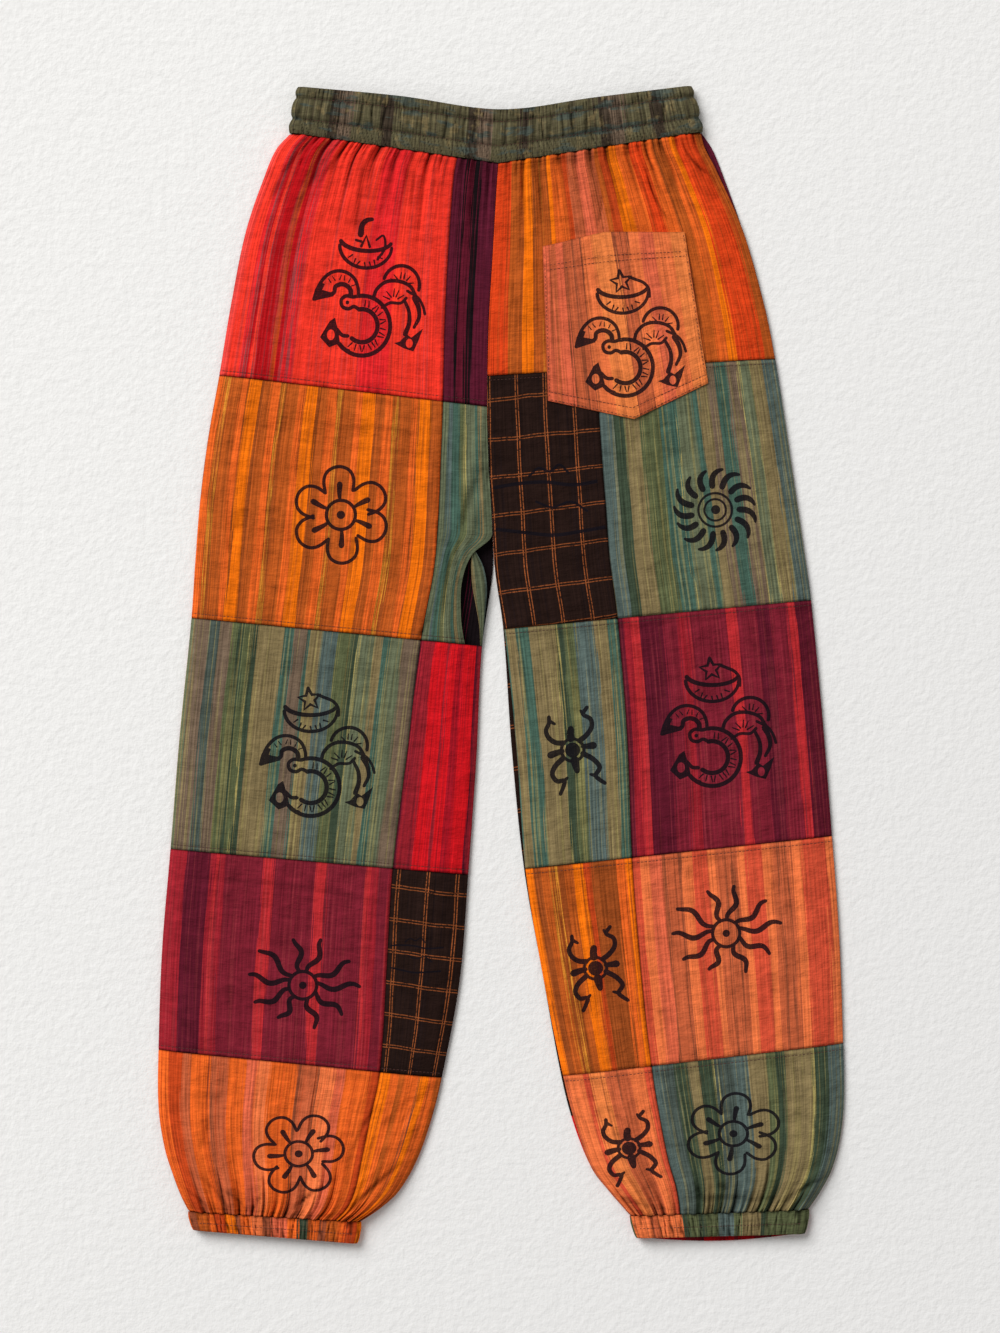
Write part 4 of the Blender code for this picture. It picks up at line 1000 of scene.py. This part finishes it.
def sewPatch(name, patch):
    side = name.split("_")[0]
    top, bottom = patch["rows"]
    widths, length = sizeOf(side, patch)
    width = float(widths.max())
    step = cut["gatheredColumn"] if "gathers" in patch else cut["column"]
    columns = evenPlaces(width, step, True, True)
    lines = evenPlaces(length, cut["rowStep"], True, True)
    q, down = (grid.ravel() for grid in np.meshgrid(columns, lines))
    flat = np.stack([q * width, -down * length], axis=1)
    inked = None
    if "sign" in patch:

        def toFlat(spots):
            along, row = findOnLeg(side, spots[:, 0], spots[:, 1])
            start, stop = ends(side, patch, row)
            return np.stack([(along - start) / (stop - start) * width, -(row - top) / (bottom - top) * length], 1)
        shapes, bare = printSign(patch["sign"], toFlat)
        inside = [s for s in shapes if all(1 < a < width - 1 and -length + 1 < b < -1 for a, b in s)]
        flat, faces, inked = inkIntoGrid(flat, gridRim(len(lines), len(columns)), inside, bare)
        q, down = np.clip(flat[:, 0] / width, 0, 1), np.clip(-flat[:, 1] / length, 0, 1)
    else:
        faces = gridFaces(len(lines), len(columns))
    row = top + (bottom - top) * down
    x, y, z, dip = clothHeight(name, patch, q, row)
    half = cut["seamGap"] / 2
    y = y + np.where(down == 1, half, np.where(down == 0, -half, 0))
    sign = sideSign[side]
    x = x - np.where((q == 0) & (patch["edges"][0] != "outer"), sign * half, 0)
    x = x + np.where((q == 1) & (patch["edges"][1] != "inner"), sign * half, 0)
    points = np.stack([x, y, z], axis=1)
    uv = np.stack([q * width + patch.get("start", 0), -down * length], axis=1)
    piece = buildSheet(name + "_cloth", points, facingUp(points, faces), cut["cloth"], uv, dip, patch["cloth"], inked)
    share = float(widths.mean() / width)
    dress(piece, name, (width * mm, length * mm), "gathered" if "gathers" in patch else "laid",
          ["front_" + side + "_cloth"], share)
    return piece


def dress(piece, node, flat, held, restsOn, share=1.0):
    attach(piece, "root")
    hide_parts(node)
    declared.append((piece, flat, held, restsOn, share))


declared = []
for name, patch in patches.items():
    sewPatch(name, patch)
print("patches sewn:", len(patches))


# The fronts lie flat on the floor under the backs, and show only as slivers
fronts = {
    "front_left": {"side": "left", "cloth": "maroonCloth", "start": 0},
    "front_right": {"side": "right", "cloth": "checkCloth", "start": 3},
}
for name, spec in fronts.items():
    side = spec["side"]
    rows, alongs = np.linspace(0, 5, 190), np.linspace(0, 1, 70)
    along, row = (grid.ravel() for grid in np.meshgrid(alongs, rows))
    outerX, outerY, innerX, innerY = rulingEnds(side, row, True)
    x, y = outerX + (innerX - outerX) * along, outerY + (innerY - outerY) * along
    z = cut["frontTop"] - 0.12 + ripple(x, y, 40, 5) * 0.05
    points = np.stack([x, y, np.minimum(z, cut["frontTop"])], axis=1)
    uv = np.stack([along * 260 + spec["start"], -row * 190], axis=1)
    faces = facingUp(points, gridFaces(len(rows), len(alongs)))
    piece = buildSheet(name + "_cloth", points, faces, cut["cloth"], uv, np.zeros(len(x)), spec["cloth"])
    for cloth in ("plumCloth", "crimsonCloth", "paintedShadowCloth"):
        piece.data.materials.append(woven[cloth])
    middles = np.array([face.center for face in piece.data.polygons]) / mm
    slots = np.where(middles[:, 1] > 240, 1, np.where(middles[:, 1] < -390, 2, 0))
    # slot 3 near the crotch: painted shadow cloth for the dark hollow between the legs
    slots[(np.abs(middles[:, 0] + 38) < 40) & (np.abs(middles[:, 1] - 85) < 75)] = 3
    piece.data.polygons.foreach_set("material_index", slots.astype(np.int32))
    dress(piece, name, (0.29, 0.95), "laid", [], 0.78)
print("fronts laid")


# The patch pocket: the back's own height under it, moved out
pocketSign = ("bowl", 107.0, 256.8, 0.96, 1.02, 2)


def pocketPlace(across, down):
    top, bottom = np.array(pocketCut["top"], float), np.array(pocketCut["bottom"], float)
    part = np.clip(across * 2, 0, 2)
    half = np.minimum(part.astype(int), 1)
    part = (part - half)[:, None]
    upper = top[half] * (1 - part) + top[half + 1] * part
    upper[:, 1] += 1.6 * np.sin(math.pi * across) ** 2
    lower = bottom[half] * (1 - part) + bottom[half + 1] * part
    return upper * (1 - down[:, None]) + lower * down[:, None]


def sewPocket():
    width, length = 138.0, 150.0
    columns = evenPlaces(width, pocketCut["step"], True, True)
    lines = evenPlaces(length, pocketCut["step"], True, True)
    across, down = (grid.ravel() for grid in np.meshgrid(columns, lines))
    flat = np.stack([across * width, -down * length], axis=1)

    def toFlat(spots):  # the way back from the plan to the pocket's own measure
        a, d = np.full(len(spots), 0.5), np.full(len(spots), 0.5)
        for _ in range(25):
            miss = spots - pocketPlace(a, d)
            a = np.clip(a + miss[:, 0] / width * 0.9, 0, 1)
            d = np.clip(d - miss[:, 1] / length * 0.9, 0, 1)
        return np.stack([a * width, -d * length], axis=1)
    shapes, bare = printSign(pocketSign, toFlat)
    flat, faces, inked = inkIntoGrid(flat, gridRim(len(lines), len(columns)), shapes, bare)
    across, down = np.clip(flat[:, 0] / width, 0, 1), np.clip(-flat[:, 1] / length, 0, 1)
    place = pocketPlace(across, down)
    x, y = place[:, 0], place[:, 1]
    along, row = findOnLeg("right", x, y)
    z = backPoint("right", along, row)[2] + pocketCut["gap"] + pocketCut["wall"]
    sideAway = np.minimum(across, 1 - across) * width
    topAway, hemAway = down * length, (1 - down) * length
    edge = np.minimum(np.minimum(sideAway, topAway), hemAway)
    wave = np.sin(2 * math.pi * (x + y) / 8.5 + np.sin(x / 9))
    z = z - 0.5 * np.exp(-(edge / 1.2) ** 2) + 0.16 * wave * np.exp(-edge / 9)
    z = z + ripple(x, y, 34, 41) * 0.16 + ripple(x, y, 11, 42) * 0.05
    # painted shade along the pocket's edges, in its pucker valleys and along its stitch lines
    dip = 0.5 * np.exp(-(edge / 0.8) ** 2) + np.clip(-wave, 0, 1) * 0.18 * np.exp(-edge / 6)
    for away, at in ((topAway, 19), (topAway, 23.5), (hemAway, 9), (sideAway, 7)):
        line = np.exp(-((away - at) / 0.9) ** 2)
        z, dip = z - 0.25 * line, dip + 0.3 * line
    z = z + 0.35 * (1 - ease(18, 20, topAway))
    points = np.stack([x, y, z], axis=1)
    uv = np.stack([across * width, -down * length], axis=1)
    piece = buildSheet("pocket_cloth", points, facingUp(points, faces), pocketCut["wall"], uv, np.clip(dip, 0, 1),
                       "pocketCloth", inked)
    dress(piece, "pocket", (0.143, 0.170), "laid",
          ["right_yoke_cloth", "right_outer_2_cloth", "right_inner_2_cloth"], 0.80)


sewPocket()
print("pocket sewn on")


# The lower fold of the crotch, between the legs
crotchLeaf = [  # y, left, right, height
    (100.0, -25.8, -23.6, 8.2), (86.0, -26.4, -16.2, 8.0), (69.0, -25.4, -12.8, 7.4),
    (52.0, -22.4, -13.4, 6.6), (34.0, -19.4, -15.0, 5.4), (16.6, -18.5, -16.6, 4.2),
]


def foldCrotch():
    table = np.array(crotchLeaf[::-1]).T
    ys, shares = np.linspace(16.6, 100, 60), np.linspace(0, 1, 15)
    share, y = (grid.ravel() for grid in np.meshgrid(shares, ys))
    left, right, height = (through(table[0], column, y) for column in table[1:])
    x = left + (right - left) * share
    crown = 1.4 * np.sin(math.pi * share) * np.sin(math.pi * (y - 10) / 95)
    pleats = 0.35 * np.sin(share * 15 + y / 16)
    points = np.stack([x, y, height + crown + pleats], axis=1)
    faces = facingUp(points, gridFaces(len(ys), len(shares)))
    uv = np.stack([share * 18 + 40, y], axis=1)
    # painted shade in the pleat valleys
    dip = np.clip(-np.sin(share * 15 + y / 16), 0, 1) * 0.6
    piece = buildSheet("gusset_cloth", points, faces, cut["cloth"], uv, dip, "greenFoldCloth")
    dress(piece, "gusset", (0.012, 0.085), "folded", ["front_right_cloth"], 0.8)


foldCrotch()
print("crotch folded")


# The gathered elastic bands: flattened tubes from a seam line to a hem line. The channels go
# from seam to hem: how far up, puff of the outer side, lobe at the ends, pleat height.
bands = {
    "waistband": {
        "seam": None, "hem": [(-176.0, 500.2), (-88.6, 492.0), (-1.3, 480.4), (81.4, 490.8),
                              (164.0, 501.0)],
        "channels": [(0.0, -0.6, 0.5, 0.45), (0.08, 0.2, 1.6, 0.6), (0.16, 0.5, 2.2, 0.6),
                     (0.25, 0.1, 1.5, 0.5),
                     (0.32, -1.1, 0.2, 0.25), (0.38, 0.1, 1.6, 0.6), (0.46, 0.7, 2.4, 1.0),
                     (0.55, 0.9, 2.6, 1.1),
                     (0.64, 0.7, 2.3, 1.0), (0.71, 0.1, 1.5, 0.6), (0.77, -1.1, 0.2, 0.25),
                     (0.83, 0.0, 1.2, 0.5),
                     (0.89, 0.3, 1.8, 0.6), (0.95, 0.1, 1.4, 0.5), (1.0, -0.6, 0.6, 0.4)],
        "waves": [(0.0, 96, 1.6), (0.32, 96, 1.6), (0.33, 40, 0.0), (0.76, 40, 0.0), (0.78, 112, 0.3),
                  (1.0, 112, 0.3)],
        "wall": 2.2, "height": 12.4, "cloth": "bandCloth", "slot": "olive_band", "drop": 0.0,
        "flat": (0.94, 0.042), "stitches": (0.32, 0.77)},
    "cuff_left": {
        "seam": "left", "hem": [(-267.2, -489.7), (-125.1, -501.5)],
        "channels": [(0.0, -0.5, 0.4, 0.5), (0.15, 0.1, 1.0, 0.8), (0.3, 0.4, 1.4, 0.9),
                     (0.5, 0.5, 1.4, 1.0),
                     (0.75, 0.4, 1.2, 0.9), (0.9, 0.1, 0.8, 0.7), (1.0, -0.4, 0.2, 0.6)],
        "waves": [(0.0, 24, 0.0), (1.0, 24, 0.0)],
        "wall": 1.9, "height": 10.8, "cloth": "leftCuffCloth", "slot": "peach_stripe", "drop": 0.0,
        "flat": (0.37, 0.020), "stitches": (0.55,)},
    "cuff_right": {
        "seam": "right", "hem": [(116.9, -496.7), (262.8, -492.9)],
        "channels": [(0.0, -0.5, 0.4, 0.5), (0.15, 0.1, 1.0, 0.8), (0.3, 0.4, 1.4, 0.9),
                     (0.5, 0.5, 1.4, 1.0),
                     (0.75, 0.4, 1.2, 0.9), (0.9, 0.1, 0.8, 0.7), (1.0, -0.4, 0.2, 0.6)],
        "waves": [(0.0, 24, 0.0), (1.0, 24, 0.0)],
        "wall": 1.9, "height": 10.8, "cloth": "rightCuffCloth", "slot": "green_stripe", "drop": 5.0,
        "lining": "crimsonCloth",
        "flat": (0.37, 0.020), "stitches": (0.55,)},
}
bandCharts = {
    "bandCloth": {"stripes": [("olive", 30), ("bark", 9), ("umber", 12), ("olive", 25), ("bark", 10),
                              ("olive", 34)],
                  "patchy": ("slate", "drab"), "accent": "bark", "accentShare": 0.6, "slub": 0.5, "stray": 30.0},
    "leftCuffCloth": {"stripes": [("cocoa", 6), ("tan", 10), ("orange", 5), ("rust", 10),
                                  ("amber", 9), ("cocoa", 5),
                                  ("orange", 9), ("peach", 10), ("cocoa", 8), ("salmon", 14),
                                  ("orange", 10),
                                  ("pine", 8), ("brown", 3), ("orange", 8)],
                      "accent": "cocoa", "accentShare": 0.45, "slub": 0.4},
    "rightCuffCloth": {"stripes": [("peach", 14), ("clay", 6), ("peach", 22), ("pine", 5),
                                   ("moss", 10), ("pine", 5),
                                   ("moss", 11), ("steel", 14), ("moss", 6), ("drab", 16),
                                   ("pine", 5), ("moss", 60)],
                       "accent": "bark", "accentShare": 0.4, "slub": 0.45},
}
for name, chart in bandCharts.items():
    woven[name] = weaveCloth(name, chart)


def onLine(points, u):
    points = np.array(points, float)
    keys = np.linspace(0, 1, len(points))
    u = np.clip(u, 0, 1)
    if len(points) > 3:
        return np.stack([through(keys, points[:, 0], u), through(keys, points[:, 1], u)], axis=1)
    return np.stack([np.interp(u, keys, points[:, 0]), np.interp(u, keys, points[:, 1])], axis=1)


def seamOf(band):
    half = cut["seamGap"] / 2
    if band["seam"]:
        outerX, outerY, innerX, innerY = rulingEnds(band["seam"], np.array([5.0]), True)
        return sorted([(outerX[0], outerY[0] - half), (innerX[0], innerY[0] - half)])
    left, right = (rulingEnds(side, np.array([0.0]), True) for side in ("left", "right"))
    middle = through(centreLine["drop"], centreLine["x"], cut["centreTop"] - left[3])
    return [(left[0][0], left[1][0] + half), (middle[0], left[3][0] + half),
            (right[0][0], right[1][0] + half)]


def bandSurface(band, u, up, under=False, inset=0.0):
    # a point of the band's outer (or inner) side, with its pleats, for arrays u and up
    seam, hem = seamOf(band), band["hem"]
    channels = np.array(band["channels"], float).T
    puff, lobe, pleat = (through(channels[0], column, up) for column in channels[1:])
    run = onLine(seam, u) * (1 - up[:, None]) + onLine(hem, u) * up[:, None]
    line = np.array(seam, float)
    length = float(np.sum(np.hypot(*np.diff(line, axis=0).T)))
    toEnd = 1 - np.minimum(np.minimum(u, 1 - u) * length / 8.0, 1)
    bow = np.sqrt(np.maximum(1 - toEnd ** 2, 0))
    outward = np.where(u < 0.5, -1, 1) * toEnd
    x = run[:, 0] + outward * (lobe - inset)
    middle = band["height"] / 2
    rise = bow * (middle - inset)
    dip = np.zeros_like(u)
    if inset == 0:
        swing = np.zeros_like(u)
        waves = band["waves"]
        for (low, count, slant), (high, _, _) in zip(waves[::2], waves[1::2]):
            mask = ease(low - 0.04, low + 0.02, up) * (1 - ease(high - 0.02, high + 0.04, up))
            phase = 2 * math.pi * count * (u + slant * (up - low) * 0.03) + 1.6 * np.sin(u * 37 + low * 9)
            phase += 0.9 * np.sin(u * 90 + 4 * up)
            fine = 0.36 * np.cos(phase * 2.3 + 3 * up + 2 * np.sin(u * 51))
            swing += mask * (pleatWave(phase) + fine)
        size = pleat * (0.72 + 0.28 * np.sin(u * 61 + 5 * up))
        if under:
            rise = rise - bow * 0.35 * (1 + np.sin(u * 160)) * 0.4
        else:
            rise = rise + bow * (puff + swing * size)
            # painted shade in the pleat valleys and where the channels sink between the puffs
            dip = np.clip(-swing - 0.1, 0, 1.3) * 0.8 + np.clip(-puff, 0, 1) * 0.55
    drop = band["drop"] * up * np.sin(math.pi * u) if under else 0.0
    z = middle - rise if under else middle + rise
    return np.stack([x, run[:, 1] - drop, z], axis=1), np.clip(dip, 0, 1.2)


def gatherBand(name, band):
    length = 357 if band["seam"] is None else 150
    ends = np.array([0.0, 0.5, 1.2, 2.3, 3.6, 5.4, 8.0]) / length
    inner = np.linspace(ends[-1], 1 - ends[-1], int(length / 1.0))[1:-1]
    back = np.concatenate([ends, inner, 1 - ends[::-1]])
    plain = np.linspace(ends[-1], 1 - ends[-1], int(length / 4))[1:-1]
    front = np.concatenate([1 - ends[1:], plain[::-1], ends[1:][::-1]])
    around = len(back) + len(front)
    ups = np.linspace(0, 1, 31 if band["seam"] is None else 17)
    outer, inside, paintedShadingRows, uvs = [], [], [], []
    for up in ups:
        pointsBack, paintedShadingBack = bandSurface(band, back, np.full_like(back, up))
        pointsFront, paintedShadingFront = bandSurface(band, front, np.full_like(front, up), True)
        outer.append(np.vstack([pointsBack, pointsFront]))
        paintedShadingRows.append(np.concatenate([paintedShadingBack, paintedShadingFront]))
        uvs.append(np.stack([np.concatenate([back, 2 - front]) * length, np.full(around, up * 42)], axis=1))
    for up in (ups[0], ups[-1]):
        a, _ = bandSurface(band, back, np.full_like(back, up), False, band["wall"])
        b, _ = bandSurface(band, front, np.full_like(front, up), True, band["wall"])
        inside.append(np.vstack([a, b]))
    points = np.vstack(outer + inside)
    # the inner rings at the two openings carry an even painted shade
    dip = np.concatenate(paintedShadingRows + [np.full(2 * around, 0.5)])
    uv = np.vstack(uvs + [uvs[0], uvs[-1]])
    n = len(ups)
    strips = [(r, r + 1) for r in range(n - 1)] + [(n + 1, n), (n, 0), (n - 1, n + 1)]
    faces = []
    for one, other in strips:
        for i in range(around):
            j = (i + 1) % around
            faces.append([one * around + i, one * around + j, other * around + j, other * around + i])
    mesh = bpy.data.meshes.new(name + "_cloth")
    mesh.from_pydata((points * mm).tolist(), [], faces)
    mesh.validate()
    layer = mesh.uv_layers.new(name="UVMap")
    corners = np.empty(len(mesh.loops), dtype=np.int32)
    mesh.loops.foreach_get("vertex_index", corners)
    layer.data.foreach_set("uv", (uv[corners] * mm).astype(np.float32).ravel())
    mesh.attributes.new("dip", "FLOAT", "POINT").data.foreach_set("value", dip.astype(np.float32))
    mesh.materials.append(woven[band["cloth"]])
    mesh.materials.append(woven[band.get("lining", band["cloth"])])
    sides = np.tile(np.arange(around) >= len(back) - 1, len(strips)).astype(np.int32)
    mesh.polygons.foreach_set("material_index", sides)
    mesh.shade_smooth()
    mesh.set_sharp_from_angle(angle=math.radians(70))
    piece = bpy.data.objects.new(name + "_cloth", mesh)
    bpy.context.scene.collection.objects.link(piece)
    pieces[name + "_cloth"] = piece
    dress(piece, name, band["flat"], "gathered", [], 1.0)


for name, band in bands.items():
    gatherBand(name, band)
print("bands gathered:", len(bands))


# Sewing thread: short stitches laid on the cloth along their lines
thread = {"pitch": 3.3, "length": 2.5, "radius": 0.24, "lift": 0.12, "sides": 5}


def threadCloth():
    board = Board("sewingThread")
    place = board.add("ShaderNodeTexCoord", None, None, out="Object")
    twist = board.noise(place, 1500.0, 2.0)
    colour = board.mix(board.ramp(twist, 0.3, 0.7), dye(42, 20, 18), dye(92, 42, 30))
    bump = board.add("ShaderNodeBump", None, {"Strength": 0.5, "Distance": 0.0002, "Height": twist})
    shader = board.add("ShaderNodeBsdfPrincipled", None, {
        "Base Color": colour, "Roughness": 0.85, "Normal": bump, "Sheen Weight": 0.1})
    board.add("ShaderNodeOutputMaterial", None, {"Surface": shader})
    return board.material


threadMaterial = threadCloth()


def layStitches(name, lines):
    points, faces = [], []
    for line in lines:
        line = np.array(line, float)
        keys = np.concatenate([[0], np.cumsum(np.linalg.norm(np.diff(line, axis=0), axis=1))])
        for start in np.arange(1.0, keys[-1] - thread["length"], thread["pitch"]):
            at = start + thread["length"] * np.array([0.0, 0.18, 0.82, 1.0])
            spine = np.stack([np.interp(at, keys, line[:, k]) for k in range(3)], axis=1)
            run = spine[-1] - spine[0]
            run /= np.linalg.norm(run)
            side = np.cross(run, (0, 0, 1.0))
            side /= max(np.linalg.norm(side), 1e-6)
            up = np.cross(side, run)
            first = len(points)
            for point, size, sink in zip(spine, (0.45, 1, 1, 0.45), (0.3, 0, 0, 0.3)):
                for k in range(thread["sides"]):
                    turn = 2 * math.pi * k / thread["sides"]
                    reach = thread["radius"] * size
                    offset = side * math.cos(turn) * reach + up * (math.sin(turn) * reach + thread["lift"] - sink)
                    points.append(point + offset)
            s = thread["sides"]
            for ring in range(3):
                for k in range(s):
                    a, b = first + ring * s + k, first + ring * s + (k + 1) % s
                    faces.append([a, b, b + s, a + s])
            faces.append([first + k for k in reversed(range(s))])
            faces.append([first + 3 * s + k for k in range(s)])
    mesh = bpy.data.meshes.new(name)
    mesh.from_pydata((np.array(points) * mm).tolist(), [], faces)
    mesh.validate()
    mesh.shade_smooth()
    mesh.materials.append(threadMaterial)
    piece = bpy.data.objects.new(name, mesh)
    bpy.context.scene.collection.objects.link(piece)
    pieces[name] = piece
    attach(piece, "root")
    return piece


def patchLine(name, fromEdge):  # a line at a distance inside one edge of a patch
    patch, side = patches[name], name.split("_")[0]
    widths, length = sizeOf(side, patch)
    edge, away = fromEdge
    count = 160
    run = np.linspace(0.006, 0.994, count)
    top, bottom = patch["rows"]
    if edge in ("top", "hem"):
        q = run
        down = np.full(count, away / length if edge == "top" else 1 - away / length)
    else:
        down = run
        q = np.full(count, away / widths.max() if edge == "start" else 1 - away / widths.max())
    x, y, z, _ = clothHeight(name, patch, q, top + (bottom - top) * down)
    return np.stack([x, y, z], axis=1)


def stitchGarment():
    lines = {"left": [], "right": []}
    for name, patch in patches.items():
        side = name.split("_")[0]
        if side == "left" and patch["rows"][1] < 5:
            lines[side].append(patchLine(name, ("hem", sewing["stitchIn"])))
        if side == "right" and patch["rows"][0] > 0:
            lines[side].append(patchLine(name, ("top", sewing["stitchIn"])))
    for side in lines:
        layStitches("stitches_" + side, lines[side])
    width, length = 138.0, 150.0
    pocketLines = []
    for kind, away in (("top", 19), ("top", 23.5), ("hem", 9), ("left", 1.6), ("right", 1.6), ("hem", 1.6)):
        run = np.linspace(0.01, 0.99, 120)
        fixed = np.full(120, away / (width if kind in ("left", "right") else length))
        fixed = 1 - fixed if kind in ("hem", "right") else fixed
        across, down = (fixed, run) if kind in ("left", "right") else (run, fixed)
        place = pocketPlace(across, down)
        along, row = findOnLeg("right", place[:, 0], place[:, 1])
        z = backPoint("right", along, row)[2] + pocketCut["gap"] + pocketCut["wall"]
        pocketLines.append(np.stack([place[:, 0], place[:, 1], z - 0.1], axis=1))
    layStitches("stitches_pocket", pocketLines)
    for name, band in bands.items():
        runs = []
        for up in band["stitches"]:
            u = np.linspace(0.03, 0.97, 700)
            runs.append(bandSurface(band, u, np.full_like(u, up))[0])
        layStitches("stitches_" + name, runs)


stitchGarment()
for piece, flat, held, restsOn, share in declared:
    flat[0] * flat[1] * share
print("stitched")


# Floor, light and camera
studio = {
    "floor": 1.6, "distance": 3.2, "centre": (-0.0013, -0.0017), "frameHeight": 1.1544, "sensor": 24.0,
    "sunStrength": 2.9, "sunSpread": 40, "sunFrom": (-0.8, 0.85, 1.0), "world": 0.38,
}


def layFloor():
    mesh = bpy.data.meshes.new("floor")
    half = studio["floor"]
    mesh.from_pydata([(-half, -half, 0), (half, -half, 0), (half, half, 0),
                      (-half, half, 0)], [], [[0, 1, 2, 3]])
    board = Board("paperFloor")
    place = board.add("ShaderNodeTexCoord", None, None, out="Object")
    grain = board.noise(place, 150.0, 4.0, 0.6)
    broad = board.noise(place, 45.0, 3.0, 0.5)
    apart = board.add("ShaderNodeSeparateXYZ", None, {0: place})
    # painted shade: the floor is darker towards the lower right, away from the light
    paintedShadeSlope = board.ramp(apart - Wire(board, apart.socket.node.outputs[1]) * 0.8, -0.9, 0.9)
    pale = board.mix(board.ramp(grain, 0.3, 0.7), dye(243, 242, 240), dye(247, 246, 244))
    tone = board.mix(paintedShadeSlope * 0.85, pale, dye(229, 228, 227))
    height = grain + broad * 0.6
    bump = board.add("ShaderNodeBump", None, {"Strength": 0.35, "Distance": 0.003, "Height": height})
    shader = board.add("ShaderNodeBsdfPrincipled", None, {
        "Base Color": tone, "Roughness": 0.95, "Normal": bump, "Specular IOR Level": 0.1})
    board.add("ShaderNodeOutputMaterial", None, {"Surface": shader})
    mesh.materials.append(board.material)
    floor = bpy.data.objects.new("floor", mesh)
    floor.location.z = -0.0002
    bpy.context.scene.collection.objects.link(floor)


def lightAndCamera():
    sun = bpy.data.lights.new("window", "SUN")
    sun.energy, sun.angle = studio["sunStrength"], math.radians(studio["sunSpread"])
    lamp = bpy.data.objects.new("window", sun)
    lamp.rotation_euler = Vector(studio["sunFrom"]).to_track_quat("Z", "Y").to_euler()
    bpy.context.scene.collection.objects.link(lamp)
    world = bpy.data.worlds.new("studio")
    world.use_nodes = True
    world.node_tree.nodes["Background"].inputs["Color"].default_value = dye(255, 254, 252)
    world.node_tree.nodes["Background"].inputs["Strength"].default_value = studio["world"]
    bpy.context.scene.world = world
    lens = bpy.data.cameras.new("camera")
    lens.sensor_fit = "VERTICAL"
    lens.sensor_height = studio["sensor"]
    lens.lens = studio["sensor"] * studio["distance"] / studio["frameHeight"]
    lens.clip_end = 20
    camera = bpy.data.objects.new("camera", lens)
    camera.location = (*studio["centre"], studio["distance"] + 0.008)
    bpy.context.scene.collection.objects.link(camera)
    bpy.context.scene.camera = camera
    bpy.context.scene.view_settings.view_transform = "Standard"


layFloor()
lightAndCamera()
bpy.context.view_layer.update()
print("scene ready, pieces:", len(pieces))
